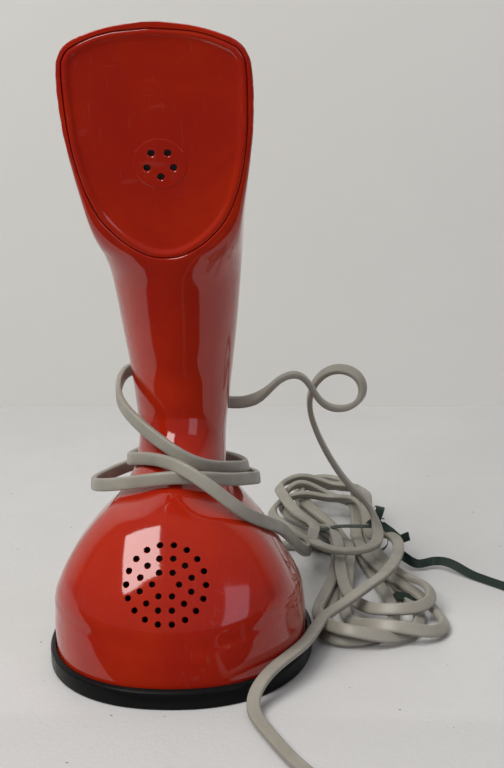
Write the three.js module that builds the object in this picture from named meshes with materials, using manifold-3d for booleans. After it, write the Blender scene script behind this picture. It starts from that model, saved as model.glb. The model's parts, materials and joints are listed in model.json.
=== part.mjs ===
// A one-piece upright telephone: the receiver is in the head, the transmitter in the dome of the base, and the
// dial with its hook-switch button on the underside. Its flat cord is wound loosely round the neck and tied in a hank.
// Millimetres, +Z up. The earpiece looks towards -Y, and the origin is on the table under the middle of the base.
import * as THREE from 'three'
import { mergeVertices } from 'three/addons/utils/BufferGeometryUtils.js'
import Module from 'manifold-3d'

const wasm = await Module()
wasm.setup()

// Driving dimensions
const WALL = 2.6
const GAP = 0.3
const CASE_FLOOR = 3
const CASE_TOP = 235
const BASE = { halfWidth: 49, halfDepth: 55.5, height: 7, power: 2.2 }
const CASE_FOOT = { halfWidth: 46.6, halfDepth: 52.3, power: 2.25 }
const FACE = { chin: [0, -12, 150], tilt: THREE.MathUtils.degToRad(14.5), ledge: 5.2 }
const EAR_HOLES = { count: 5, circle: 4.8, radius: 1.25, height: 36.8 }
const MOUTH = { centre: [0, -45, 43], tilt: THREE.MathUtils.degToRad(25), radius: 1.1 }
const MOUTH_RINGS = [{ count: 6, circle: 4.75 }, { count: 12, circle: 9.4 }, { count: 18, circle: 14.1 }]
const SCREW_POSTS = { x: 21.75, y: 37.7, radius: 3.6 }
const DIAL = { wheel: 36, bore: 7.3, holes: 10, holeRadius: 6.2, holeCircle: 27.5, pitch: 30, firstHole: 20 }
const SHAFT = { inner: 7.3, outer: 9 }
const MAIN_GEAR = { teeth: 48, module: 1 }
const PINION = { teeth: 12, module: 1, x: 0, y: 30 }
const WHEEL = { teeth: 24, module: 0.9 }
const GOVERNOR = { teeth: 8, module: 0.9, x: 14.4, y: 30 }
const CHASSIS = { radius: 37, z: 13, thickness: 1.2 }
const BRIDGE = { z: 34.5, thickness: 1.5, halfSpan: 30.5 }
const BOARD = { z: 36.3, thickness: 1.5 }
const CORD_RADIUS = 1.6

// The cord: where it leaves the case, its runs, the outline of its tied hank, the ribbon and the plug
const EXIT_HEIGHT = 11.7
const RELIEF_END = 76
const BASE_RUN = [[0, 76.3, 11.7], [0.5, 84, 10.6], [3, 92, 7.2], [9, 98.5, 4], [18, 102, 2.6], [28, 103, 2.4],
  [38, 102.5, 2.4], [45.6, 101.5, 3]]
const NECK_RUN = [[72, 91, 15.6], [71, 90, 20], [67, 88.5, 28], [61, 87, 36], [56, 85, 44], [51, 83, 54],
  [48, 81, 62], [46, 80, 69], [46, 78, 76], [48, 76, 82], [52, 74.5, 87], [57, 73, 89.5], [62, 71, 89.5],
  [66, 69, 87], [68, 67, 82], [66, 65.5, 78], [62, 64, 75.5], [56, 62, 75.5], [51, 60, 79], [47, 58.5, 86],
  [44, 57, 91.5], [39.5, 55, 93], [36, 53.5, 91], [30, 51.5, 85.5], [24, 50, 82], [17, 48.5, 82], [8, 47.5, 84],
  [-4, 47.5, 89], [-14, 44, 95], [-21, 35.5, 99.5], [-23.5, 22, 97.5], [-21, 8, 93.5], [-14, -1.5, 89],
  [-5.5, -6.5, 83.5], [4, -10, 78], [11.5, -7, 74], [19, 3.5, 70], [23, 16, 66.2], [23.5, 28, 62.8],
  [20, 40.5, 60.6], [10.5, 50.5, 59.8], [-2, 53, 59.4], [-15, 50.5, 58.5], [-26, 42, 57.4], [-32.5, 27, 58.2],
  [-33.5, 13, 60.8], [-30.5, 2, 63.6], [-23, -7, 66.8], [-12, -16, 71], [0, -19, 73.5], [10, -17, 72.8], [20, -7.5, 69], [26.5, 6, 65],
  [28.5, 17, 61.6], [26, 30, 58.4], [18.5, 41, 56.6], [8, 48.6, 55.4], [-3, 49.6, 57], [-12, 46.4, 62],
  [-18.5, 38, 64.8], [-20.5, 27, 66.6], [-19.5, 14, 70], [-15.5, 2, 74], [-7, -10, 77.5], [2, -18.5, 78],
  [9, -23, 75.5], [17, -24.5, 70], [26, -22, 61.6], [32.5, -12, 54.5], [37, 4, 46.5], [39.5, 24, 36],
  [41, 44, 25.5], [42.5, 62, 16], [44, 76, 9.5], [46.4, 85, 7]]
const FRONT_RUN = [[53.2, 7, 9.4], [50.9, -3, 9.5], [49, -13, 10.2], [46.8, -22, 10.8], [42.3, -33, 11.3],
  [36.3, -43.5, 10.3], [32.2, -50.5, 7.6], [30.5, -55.5, 4.8], [30.8, -60, 2.6], [32.5, -65, 2.1],
  [35.6, -72, 2.1], [41.5, -85, 2.1], [49.5, -100, 2.1], [58, -110.5, 2.1], [67, -116.5, 2.6], [76.7, -118, 3.6]]
const HANK = { low: 0.9, high: 14.3 }
const HANK_OUTLINE = [[70, -14], [84, -10], [95, 0], [100, 16], [98, 36], [91, 57], [83, 76], [77.5, 90], [76.5, 104],
  [73, 120], [69.5, 140], [63, 164], [52, 182], [41, 175], [33, 155], [31, 138], [37, 122], [46.5, 108], [49, 96],
  [50, 82], [52.5, 62], [54.5, 40], [55.5, 18], [59, -4]]
const TIE = { x: 62.9, y: 99.5, halfWidth: 15.7, halfLength: 2.2, thickness: 0.7, turn: -0.12 }
const TAIL = [[81.5, 84], [90, 79], [98, 81], [112, 70.5], [125, 58.5], [138, 46]]
const PLUG = { x: 77, y: -118, z: 3.6, length: 13, width: 9.6, height: 6.6 }

// The case's outline at each height: half width, front, back, place of the widest point, and how square each side is
const halfWidth = profile([[0, 46.6], [14, 46.6], [22, 46.1], [28.5, 45.2], [34.7, 42.7], [46.5, 36.3], [55.4, 29.2],
  [60.5, 23.8], [64.7, 19.2], [70, 16.7], [77, 16.3], [92, 17.8], [121, 21.5], [147, 24.5], [168, 27.6], [186, 30.7],
  [200, 32.5], [212, 33], [220, 32.6], [225.4, 30.7], [228.3, 27.7], [231, 21.6], [233.4, 12.8], [235, 0]])
const front = profile([[0, -52.2], [14, -52.4], [26, -51.8], [36, -48.6], [43, -45], [51.5, -39.5], [58.5, -33.6],
  [64, -27], [68, -20.5], [73, -12], [78.5, -4], [84, 0.8], [90, 2.6], [102, 2], [116, -1.2], [132, -5.6],
  [147, -10.8], [150, -12], [190, -22.3], [235, -34]])
const back = profile([[0, 51.5], [12, 51.8], [24, 51.3], [36, 50], [50, 47.4], [62, 45], [74, 42.8], [86, 41.2],
  [102, 39], [118, 36.3], [134, 32.8], [150, 28], [168, 22], [187, 14.6], [203, 6.5], [217, -3], [227, -13],
  [232, -20.5], [234.3, -26.5], [235, -31]])
const widest = profile([[0, 0], [20, -3], [40, -17], [52, -17], [60, -15], [66, 6], [72, 17], [80, 24], [100, 27],
  [120, 25], [140, 20], [150, 14], [160, 3], [172, -9], [186, -17.5], [200, -23], [220, -28.5], [235, -33]])
const frontPower = profile([[0, 2.25], [28, 2.2], [50, 2.05], [62, 1.95], [70, 1.9], [80, 1.95], [90, 2], [120, 1.95],
  [140, 2], [150, 2.6], [156, 4.2], [170, 9], [200, 9], [235, 8]])
const backPower = profile([[0, 2.25], [28, 2.2], [50, 2], [62, 1.8], [72, 2.1], [235, 2]])
const faceHalfWidth = profile([[0, 0], [0.25, 3.5], [1, 6.4], [3, 10.6], [8, 17.2], [16.8, 24.2], [30, 29.2], [45, 32],
  [56, 32.8], [67, 33], [73.6, 32.6], [79, 30], [83.3, 22.6], [86, 13.4], [87.2, 0]])

// Finishes
const FINISHES = {
  case: { color: 0xd1260f, roughness: 0.12, metalness: 0 },
  rubber: { color: 0x171616, roughness: 0.6, metalness: 0 },
  black: { color: 0x1b1b1c, roughness: 0.35, metalness: 0 },
  ivory: { color: 0xe6dfcd, roughness: 0.4, metalness: 0 },
  button: { color: 0xb81f10, roughness: 0.3, metalness: 0 },
  steel: { color: 0xb4b6b8, roughness: 0.35, metalness: 1 },
  brass: { color: 0xc09a4e, roughness: 0.35, metalness: 1 },
  copper: { color: 0xa8532a, roughness: 0.45, metalness: 0.6 },
  board: { color: 0x7a5a2c, roughness: 0.6, metalness: 0 },
  cord: { color: 0x8b857b, roughness: 0.45, metalness: 0 },
  ribbon: { color: 0x0f3d2a, roughness: 0.5, metalness: 0 },
  clear: { color: 0xcfd4d2, roughness: 0.1, metalness: 0 },
}

// Monotone cubic through (place, value) points
function profile(points) {
  const step = points.slice(1).map((p, i) => (p[1] - points[i][1]) / (p[0] - points[i][0]))
  const slope = points.map((_, i) => {
    if (i === 0) return step[0]
    if (i === points.length - 1) return step[i - 1]
    return step[i - 1] * step[i] <= 0 ? 0 : (2 * step[i - 1] * step[i]) / (step[i - 1] + step[i])
  })
  return (place) => {
    let i = points.findIndex((p) => p[0] >= place) - 1
    if (i === -2) i = points.length - 2
    i = Math.max(i, 0)
    const span = points[i + 1][0] - points[i][0]
    const t = Math.min(Math.max((place - points[i][0]) / span, 0), 1)
    const h = t * t * (3 - 2 * t)
    const a = t * (1 - t) * (1 - t) * span
    const b = t * t * (t - 1) * span
    return points[i][1] * (1 - h) + points[i + 1][1] * h + a * slope[i] + b * slope[i + 1]
  }
}

// Helpers: solids, cuts and placing
function solid(geometry) {
  const bare = geometry.clone()
  bare.deleteAttribute('normal')
  bare.deleteAttribute('uv')
  const merged = mergeVertices(bare, 1e-4)
  const index = merged.index ? merged.index.array : Uint32Array.from({ length: merged.attributes.position.count }, (_, i) => i)
  return new wasm.Manifold(new wasm.Mesh({
    numProp: 3,
    vertProperties: new Float32Array(merged.attributes.position.array),
    triVerts: new Uint32Array(index),
  }))
}

function surface(manifold) {
  const { vertProperties, triVerts, numProp } = manifold.getMesh()
  const position = new Float32Array((vertProperties.length / numProp) * 3)
  for (let i = 0; i < position.length / 3; i++) {
    for (let k = 0; k < 3; k++) position[3 * i + k] = vertProperties[numProp * i + k]
  }
  const geometry = new THREE.BufferGeometry()
  geometry.setAttribute('position', new THREE.BufferAttribute(position, 3))
  geometry.setIndex(new THREE.BufferAttribute(new Uint32Array(triVerts), 1))
  return geometry
}

function named(name, shape, finish) {
  const geometry = shape.isBufferGeometry ? shape : surface(shape)
  const mesh = new THREE.Mesh(geometry, new THREE.MeshStandardMaterial(FINISHES[finish]))
  mesh.name = name
  return mesh
}

function block(low, high) {
  const size = high.map((v, i) => v - low[i])
  return solid(new THREE.BoxGeometry(...size).translate(...low.map((v, i) => v + size[i] / 2)))
}

// A cylinder standing on the plane z = bottom, as a geometry or as a solid
function rod(radius, bottom, top, x = 0, y = 0, sides = 24) {
  const geometry = new THREE.CylinderGeometry(radius, radius, top - bottom, sides).rotateX(Math.PI / 2)
  return solid(geometry.translate(x, y, (bottom + top) / 2))
}

// A turned ring whose (radius, height) profile closes on itself
function turned(points, sides = 32) {
  const closed = [...points, points[0]].map(([r, z]) => new THREE.Vector2(r, z))
  return new THREE.LatheGeometry(closed, sides).rotateX(Math.PI / 2)
}

function ring(inner, outer, bottom, top, sides = 32) {
  return turned([[inner, bottom], [outer, bottom], [outer, top], [inner, top]], sides)
}

function superEllipse(halfX, halfY, power, count = 48) {
  return Array.from({ length: count }, (_, i) => {
    const angle = (2 * Math.PI * i) / count
    const [c, s] = [Math.cos(angle), Math.sin(angle)]
    return new THREE.Vector2(
      halfX * Math.sign(c) * Math.abs(c) ** (2 / power), halfY * Math.sign(s) * Math.abs(s) ** (2 / power))
  })
}

function slab(outline, bottom, top) {
  const shape = new THREE.Shape(outline)
  return new THREE.ExtrudeGeometry(shape, { depth: top - bottom, bevelEnabled: false }).translate(0, 0, bottom)
}

// Turns a piece made round +Z so that it runs along a slanted axis from a point
function aimed(geometry, origin, direction) {
  const turn = new THREE.Quaternion().setFromUnitVectors(new THREE.Vector3(0, 0, 1), direction)
  return geometry.clone().applyQuaternion(turn).translate(...origin)
}

// A closed loft through rings of equally many points, from the lowest to the highest
function loft(rings) {
  const count = rings[0].length
  const position = []
  const index = []
  for (const loop of rings) for (const p of loop) position.push(...p)
  for (let j = 0; j + 1 < rings.length; j++) {
    for (let i = 0; i < count; i++) {
      const [a, b] = [j * count + i, j * count + ((i + 1) % count)]
      index.push(a, b, b + count, a, b + count, a + count)
    }
  }
  for (const [loop, first, flip] of [[rings[0], 0, true], [rings.at(-1), (rings.length - 1) * count, false]]) {
    const middle = position.length / 3
    for (let k = 0; k < 3; k++) position.push(loop.reduce((sum, p) => sum + p[k], 0) / count)
    for (let i = 0; i < count; i++) {
      const [a, b] = [first + i, first + ((i + 1) % count)]
      index.push(...(flip ? [middle, b, a] : [middle, a, b]))
    }
  }
  const geometry = new THREE.BufferGeometry()
  geometry.setAttribute('position', new THREE.Float32BufferAttribute(position, 3))
  geometry.setIndex(index)
  return geometry
}

// One level of the case, drawn in by the wall where it is the inside
function caseLevel(z, inset, faceInset, count = 30) {
  const [w, yFront, yBack, yMid] = [halfWidth(z) - inset, front(z) + faceInset, back(z) - inset, widest(z)]
  return Array.from({ length: count }, (_, i) => {
    const angle = (2 * Math.PI * (i + 0.5)) / count
    const [c, s] = [Math.cos(angle), Math.sin(angle)]
    const power = s < 0 ? frontPower(z) : backPower(z)
    const mid = Math.max(yMid, yFront + 0.5)
    const reach = s < 0 ? mid - yFront : yBack - mid
    return [w * Math.sign(c) * Math.abs(c) ** (2 / power), mid + reach * Math.sign(s) * Math.abs(s) ** (2 / power), z]
  })
}

function levels(stretches) {
  const found = []
  for (const [from, to, step] of stretches) for (let z = from; z < to - 0.01; z += step) found.push(z)
  return found
}

// Case
const faceOut = new THREE.Vector3(0, -Math.cos(FACE.tilt), -Math.sin(FACE.tilt))
const faceUp = new THREE.Vector3(0, -Math.sin(FACE.tilt), Math.cos(FACE.tilt))
const faceIn = faceOut.clone().negate()
const mouthIn = new THREE.Vector3(0, Math.cos(MOUTH.tilt), -Math.sin(MOUTH.tilt))
const mouthUp = new THREE.Vector3(0, Math.sin(MOUTH.tilt), Math.cos(MOUTH.tilt))

// A slab shaped as the face, drawn in by an inset, between two depths behind the face plane
function facePlate(inset, depthFrom, depthTo) {
  const heights = [0, 1, 3, 9, 18, 30, 46, 62, 73.6, 77, 80, 83.3, 86, 87.2]
  const side = heights.map((s) => new THREE.Vector2(faceHalfWidth(s), s))
  const outline = [...side, ...side.slice(1, -1).reverse().map((p) => new THREE.Vector2(-p.x, p.y))]
  const drawn = drawnIn(outline, inset)
  const geometry = slab(drawn, depthFrom, depthTo)
  const basis = new THREE.Matrix4().makeBasis(new THREE.Vector3(-1, 0, 0), faceUp, faceIn)
  return geometry.applyMatrix4(basis).translate(...FACE.chin)
}

// Moves each point of an outline inwards along its normal
function drawnIn(outline, inset) {
  return outline.map((p, i) => {
    const before = outline[(i + outline.length - 1) % outline.length]
    const after = outline[(i + 1) % outline.length]
    const along = after.clone().sub(before).normalize()
    return new THREE.Vector2(p.x - along.y * inset, p.y + along.x * inset)
  })
}

function facePoint(height, depth) {
  return new THREE.Vector3(...FACE.chin).addScaledVector(faceUp, height).addScaledVector(faceIn, depth).toArray()
}

function mouthPoint(across, up, depth) {
  const point = new THREE.Vector3(...MOUTH.centre).addScaledVector(mouthIn, depth).addScaledVector(mouthUp, up)
  return point.add(new THREE.Vector3(across, 0, 0)).toArray()
}

function mouthDrills() {
  const drills = []
  for (const { count, circle } of MOUTH_RINGS) {
    for (let i = 0; i < count; i++) {
      const angle = (2 * Math.PI * (i + 0.5)) / count
      const drill = new THREE.CylinderGeometry(MOUTH.radius, MOUTH.radius, 16, 6).rotateX(Math.PI / 2)
      const start = mouthPoint(circle * Math.sin(angle), circle * Math.cos(angle), 0)
      drills.push(solid(aimed(drill, start, mouthIn)))
    }
  }
  return drills
}

function screwPosts(outside) {
  let posts = null
  for (const sx of [-1, 1]) {
    for (const sy of [-1, 1]) {
      const [x, y] = [sx * SCREW_POSTS.x, sy * SCREW_POSTS.y]
      const rib = new THREE.BoxGeometry(12, 2.4, 11).translate(8, 0, 10.8).rotateZ(Math.atan2(y, x)).translate(x, y, 0)
      const post = rod(SCREW_POSTS.radius, 5.3, 16.3, x, y, 16).add(solid(rib)).subtract(rod(1.8, 5, 12.3, x, y, 12))
      posts = posts ? posts.add(post) : post
    }
  }
  return posts.intersect(outside)
}

function caseHalves() {
  const outerLevels = levels([[CASE_FLOOR, 57, 9], [57, 85, 4], [85, 219, 13.4], [219, 228, 4.5], [228, 234, 2.2]])
  const innerLevels = levels([[66, 85, 5], [85, 219, 19], [219, 227, 4]])
  const outside = solid(loft([...outerLevels, 234.6].map((z) => caseLevel(z, 0, 0))))
  const insideLevel = (z) => caseLevel(z + 1.2, WALL, z < 140 ? WALL : FACE.ledge)
  const dome = levels([[CASE_FLOOR, 57, 9], [57, 66, 4.5]])
  const floor = caseLevel(CASE_FLOOR, WALL, WALL).map(([x, y]) => [x, y, CASE_FLOOR - 2])
  const inside = solid(loft([floor, ...dome.map(insideLevel), ...innerLevels.map(insideLevel)]))
  let shell = outside.subtract(inside).add(screwPosts(outside))
  shell = shell.subtract(solid(facePlate(1.8, -2, 2.9))).subtract(solid(facePlate(6.5, -2, 9)))
  for (const drill of mouthDrills()) shell = shell.subtract(drill)
  const cordHole = new THREE.CylinderGeometry(4.2, 4.2, 14, 16).translate(0, 52, 0)
  shell = shell.subtract(solid(cordHole.translate(0, 0, EXIT_HEIGHT)))
  return [-1, 1].map((side) => {
    const half = block([side < 0 ? -80 : GAP / 2, -80, 0], [side < 0 ? -GAP / 2 : 80, 80, CASE_TOP + 5])
    return named(side < 0 ? 'right_case_half' : 'left_case_half', shell.intersect(half), 'case')
  })
}

function earPlate() {
  let plate = solid(facePlate(2.1, 0.2, 2.6))
  for (let i = 0; i < EAR_HOLES.count; i++) {
    const angle = Math.PI + (2 * Math.PI * i) / EAR_HOLES.count
    const drill = new THREE.CylinderGeometry(EAR_HOLES.radius, EAR_HOLES.radius, 12, 12).rotateX(Math.PI / 2)
    const start = facePoint(EAR_HOLES.height + EAR_HOLES.circle * Math.cos(angle), 0)
    start[0] += EAR_HOLES.circle * Math.sin(angle)
    plate = plate.subtract(solid(aimed(drill, start, faceIn)))
  }
  return named('earpiece_plate', plate, 'case')
}

function baseRing() {
  const outer = solid(slab(superEllipse(BASE.halfWidth, BASE.halfDepth, BASE.power), 0, BASE.height))
  const seat = superEllipse(CASE_FOOT.halfWidth + 0.6, CASE_FOOT.halfDepth + 0.6, CASE_FOOT.power)
  const opening = superEllipse(41.5, 47.5, BASE.power)
  const hollow = solid(slab(seat, CASE_FLOOR - GAP, BASE.height + 1)).add(solid(slab(opening, -1, CASE_FLOOR)))
  return named('base_ring', outer.subtract(hollow), 'rubber')
}

function screwPlaces() {
  return [[1, 1], [-1, 1], [-1, -1], [1, -1]].map(([sx, sy]) => [sx * SCREW_POSTS.x, sy * SCREW_POSTS.y])
}

function basePlate() {
  let plate = solid(slab(superEllipse(42.9, 48.4, BASE.power, 36), CASE_FLOOR, 5))
  plate = plate.subtract(rod(38.2, 0, 10, 0, 0, 36))
  for (const [x, y] of screwPlaces()) plate = plate.subtract(rod(1.9, 0, 10, x, y, 12))
  return named('base_plate', plate, 'black')
}

function baseScrews() {
  return screwPlaces().map(([x, y], i) => {
    const slot = block([x - 3, y - 0.4, 1], [x + 3, y + 0.4, 1.8])
    const screw = rod(2.6, 1.4, 2.7, x, y, 16).add(rod(1.5, 2.6, 11, x, y, 12)).subtract(slot)
    return named(`base_screw_${i + 1}`, screw, 'steel')
  })
}

// Dial
function dialCase() {
  const outline = [[10, 8.6], [36.9, 8.6], [36.9, 3.2], [37.9, 3.2], [37.9, 9.8], [10, 9.8]]
  return named('dial_case', turned(outline, 36), 'black')
}

function fingerWheel() {
  let wheel = solid(ring(DIAL.bore, DIAL.wheel, 4.6, 6, 40))
  for (let i = 0; i < DIAL.holes; i++) {
    const angle = THREE.MathUtils.degToRad(DIAL.firstHole + i * DIAL.pitch)
    const [x, y] = [DIAL.holeCircle * Math.cos(angle), DIAL.holeCircle * Math.sin(angle)]
    wheel = wheel.subtract(rod(DIAL.holeRadius, 4, 7, x, y, 14))
  }
  return named('finger_wheel', wheel, 'ivory')
}

function fingerStop() {
  const arm = new THREE.Shape()
  arm.moveTo(22, -1.6)
  arm.lineTo(36, -3)
  arm.lineTo(40.5, -3.4)
  arm.lineTo(40.5, 3.4)
  arm.lineTo(36, 3)
  arm.lineTo(22, 1.6)
  arm.absarc(22, 0, 1.6, Math.PI / 2, (3 * Math.PI) / 2)
  const plate = new THREE.ExtrudeGeometry(arm, { depth: 1, bevelEnabled: false, curveSegments: 8 })
  return named('finger_stop', plate.translate(0, 0, 1.7).rotateZ(THREE.MathUtils.degToRad(-22)), 'steel')
}

// A spur gear with straight-sided teeth, the first tooth at the given angle
function gear({ teeth, module }, bore, bottom, top, firstTooth) {
  const pitchRadius = (teeth * module) / 2
  const step = (2 * Math.PI) / teeth
  const outline = []
  for (let i = 0; i < teeth; i++) {
    const middle = firstTooth + i * step
    for (const [turn, radius] of [[-0.27, -1.2], [-0.11, 0.75], [0.11, 0.75], [0.27, -1.2]]) {
      const r = pitchRadius + radius * module
      outline.push(new THREE.Vector2(r * Math.cos(middle + turn * step), r * Math.sin(middle + turn * step)))
    }
  }
  const shape = new THREE.Shape(outline)
  const hole = new THREE.Path()
  hole.absarc(0, 0, bore, 0, 2 * Math.PI, true)
  if (bore > 0) shape.holes.push(hole)
  return new THREE.ExtrudeGeometry(shape, { depth: top - bottom, bevelEnabled: false, curveSegments: 12 })
    .translate(0, 0, bottom)
}

function pinionTrain() {
  const big = solid(gear(WHEEL, 1.8, 21, 22.4, 0))
  const small = solid(gear(PINION, 1.8, 17, 21.1, -Math.PI / 2 + Math.PI / PINION.teeth))
  const shaft = new THREE.CylinderGeometry(1.5, 1.5, 14, 12).rotateX(Math.PI / 2).translate(0, 0, 19)
  const cam = new THREE.Shape()
  cam.absellipse(0, 0, 5, 3, 0, 2 * Math.PI)
  const bore = new THREE.Path()
  bore.absarc(0, 0, 1.8, 0, 2 * Math.PI, true)
  cam.holes.push(bore)
  const camPlate = new THREE.ExtrudeGeometry(cam, { depth: 1.6, bevelEnabled: false, curveSegments: 20 })
  const parts = [
    named('pinion_shaft', shaft, 'steel'),
    named('pinion_gear', small.add(big), 'brass'),
    named('pulse_cam', camPlate.translate(0, 0, 23), 'ivory'),
  ]
  for (const part of parts) part.position.set(PINION.x, PINION.y, 0)
  return parts
}

function governor() {
  const pinion = solid(gear(GOVERNOR, 0, 20.6, 22.8, Math.PI + Math.PI / GOVERNOR.teeth))
  const spindle = pinion.add(rod(1.2, 12, 31, 0, 0, 12))
  let weights = block([-6, -1.1, 25.5], [6, 1.1, 27.5]).add(rod(2.6, 25.5, 27.5, 0, 0, 16))
  for (const side of [-1, 1]) weights = weights.add(rod(1.9, 25, 28.2, side * 4.4, 0, 14))
  weights = weights.subtract(rod(1.5, 24, 29, 0, 0, 12))
  const foot = rod(1.5, CHASSIS.z + CHASSIS.thickness + GAP, 27, 8.4, -3.6, 12)
  const cup = solid(ring(7.4, 8.6, 24.5, 29, 28)).add(foot.subtract(rod(7.45, 10, 40, 0, 0, 28)))
  const parts = [
    named('governor_spindle', spindle, 'steel'),
    named('governor_weights', weights, 'brass'),
    named('governor_cup', cup, 'steel'),
  ]
  for (const part of parts) part.position.set(GOVERNOR.x, GOVERNOR.y, 0)
  return parts
}

// A flat spiral spring round the dial shaft
function returnSpring() {
  const [turns, steps, half] = [3, 18, 0.35]
  const outer = []
  const inner = []
  for (let i = 0; i <= turns * steps; i++) {
    const angle = (2 * Math.PI * i) / steps
    const radius = 10.2 + (1.7 * angle) / (2 * Math.PI)
    for (const [side, edge] of [[half, outer], [-half, inner]]) {
      edge.push(new THREE.Vector2((radius + side) * Math.cos(angle), (radius + side) * Math.sin(angle)))
    }
  }
  return named('return_spring', slab([...outer, ...inner.reverse()], 20.5, 23.5), 'steel')
}

function chassisPlate() {
  let plate = rod(CHASSIS.radius, CHASSIS.z, CHASSIS.z + CHASSIS.thickness, 0, 0, 36)
  plate = plate.subtract(rod(SHAFT.outer + 0.6, 10, 20))
  plate = plate.subtract(rod(1.8, 10, 20, PINION.x, PINION.y, 12))
  plate = plate.subtract(rod(1.5, 10, 20, GOVERNOR.x, GOVERNOR.y, 12))
  return named('chassis_plate', plate, 'steel')
}

function chassisPosts() {
  return [20, 140, 260].map((degrees, i) => {
    const angle = THREE.MathUtils.degToRad(degrees)
    const post = rod(2.2, 10.1, CHASSIS.z - GAP, 33 * Math.cos(angle), 33 * Math.sin(angle), 12)
    return named(`chassis_post_${i + 1}`, post, 'brass')
  })
}

function pulseContacts() {
  let stack = block([-17, 26, CHASSIS.z + CHASSIS.thickness + GAP], [-12, 31, 26.5])
  for (const y of [27.4, 29.2]) stack = stack.add(block([-12.2, y, 22.9], [-5.6, y + 0.4, 25.4]))
  return named('pulse_contacts', stack, 'black')
}

// Hook switch
function hookSwitch() {
  const plunger = rod(6.9, 0.4, 8, 0, 0, 32).add(rod(4, 7.9, 27)).add(rod(1.5, 26.9, 37.7, 0, 0, 12))
  const top = BRIDGE.z + BRIDGE.thickness
  let bridge = block([-BRIDGE.halfSpan, -4, BRIDGE.z], [BRIDGE.halfSpan, 4, top])
  for (const side of [-1, 1]) {
    const [low, high] = side < 0 ? [-BRIDGE.halfSpan, -BRIDGE.halfSpan + 3] : [BRIDGE.halfSpan - 3, BRIDGE.halfSpan]
    bridge = bridge.add(block([low, -4, CHASSIS.z + CHASSIS.thickness + GAP], [high, 4, BRIDGE.z + 0.1]))
  }
  bridge = bridge.subtract(rod(2, 30, 40, 0, 0, 14))
  const contacts = block([8, -3, top + GAP], [16, 3, 41.5]).add(block([-5, -2, 38.2], [8.2, 2, 38.6]))
  return [
    named('hook_plunger', plunger, 'button'),
    named('switch_bridge', bridge, 'steel'),
    named('hook_contacts', contacts, 'black'),
    named('plunger_spring', plungerSpring(), 'steel'),
  ]
}

function plungerSpring() {
  const [turns, steps, radius, low, high] = [4, 10, 3.1, 27.8, 33.8]
  const points = Array.from({ length: turns * steps + 1 }, (_, i) => {
    const angle = (2 * Math.PI * i) / steps
    return new THREE.Vector3(radius * Math.cos(angle), radius * Math.sin(angle), low + ((high - low) * i) / (turns * steps))
  })
  return tube(points, 0.4, 5, turns * steps)
}

function tube(points, radius, sides, steps) {
  const path = new THREE.CatmullRomCurve3(points, false, 'centripetal')
  const section = new THREE.Shape(Array.from({ length: sides }, (_, i) => {
    const angle = (2 * Math.PI * i) / sides
    return new THREE.Vector2(radius * Math.cos(angle), radius * Math.sin(angle))
  }))
  return new THREE.ExtrudeGeometry(section, { steps, extrudePath: path, bevelEnabled: false })
}

function route(name, points, radius, sides, steps, finish) {
  return named(name, tube(points.map((p) => new THREE.Vector3(...p)), radius, sides, steps), finish)
}

// Receiver and transmitter
function receiver() {
  const centre = facePoint(EAR_HOLES.height, 0)
  const capsule = turned([[0, 3.2], [12, 3.2], [16.5, 6], [16.5, 13.5], [12, 15], [0, 15]])
  const clampBar = new THREE.BoxGeometry(44, 10, 1.4).translate(0, 0, 16.2)
  return [
    named('receiver_capsule', aimed(solidTurned(capsule), centre, faceIn), 'black'),
    named('receiver_gasket', aimed(ring(16.8, 19.5, 6.2, 10), centre, faceIn), 'rubber'),
    named('receiver_clamp', aimed(clampBar, centre, faceIn), 'steel'),
  ]
}

// A turned piece whose profile starts and ends on the axis
function solidTurned(geometry) {
  return surface(solid(geometry))
}

function transmitter() {
  const capsule = solidTurned(turned([[0, 5.6], [11, 5.6], [14.5, 7.5], [14.5, 14], [0, 14]]))
  const cupOutline = [[14.8, 7.5], [16, 7.5], [16, 15.8], [0, 15.8], [0, 14.3], [14.8, 14.3]]
  return [
    named('transmitter_capsule', aimed(capsule, MOUTH.centre, mouthIn), 'black'),
    named('transmitter_cup', aimed(solidTurned(turned(cupOutline)), MOUTH.centre, mouthIn), 'rubber'),
  ]
}

// Speech circuit
function speechCircuit() {
  const top = BOARD.z + BOARD.thickness
  const board = block([-20, 6.5, BOARD.z], [20, 31, top]).add(block([-26, 18, BOARD.z], [26, 26, top]))
  let bobbin = block([-18, 12, top + GAP], [-4, 28, 50])
  bobbin = bobbin.subtract(block([-14, 10, 42], [-8, 30, 46.2])).subtract(block([-19, 14, 40], [-16, 26, 48]))
  const core = block([-13.7, 9.5, 42.3], [-8.3, 30.2, 45.9])
  const can = new THREE.CylinderGeometry(4.6, 4.6, 18, 20).translate(8, 19, top + GAP + 4.7)
  const posts = [-24, 24].map((x, i) => {
    const post = rod(2, CHASSIS.z + CHASSIS.thickness + GAP, BOARD.z - GAP, x, 22, 12)
    return named(`board_post_${i + 1}`, post, 'brass')
  })
  return [
    named('circuit_board', board, 'board'),
    named('coil_bobbin', bobbin, 'copper'),
    named('coil_core', core, 'steel'),
    named('capacitor', can, 'steel'),
    ...posts,
  ]
}

function leads() {
  return [
    route('receiver_lead', [[-0.5, 20, 38.3], [-0.5, 20, 60], [0, 21, 82], [0, 19, 110], [0, 13, 145], [0, 4, 168],
      [0, -1, 178]], 1.2, 6, 14, 'black'),
    route('transmitter_lead', [[0, -28.3, 36], [0, -20, 44], [-3, -8, 46.5], [-8, 4, 44], [-10, 8.5, 38.3]],
      1, 6, 10, 'black'),
    route('line_lead', [[0, 45.4, 11.7], [3, 44, 20], [8, 41, 29], [7, 36.5, 35], [5, 32.5, 38.6]], 1.2, 8, 10, 'cord'),
  ]
}

// Cord: it leaves the back of the base, joins the hank, comes out to stand in a loose curl, winds three times round
// the neck, goes back into the hank and runs out in front to its plug

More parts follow.
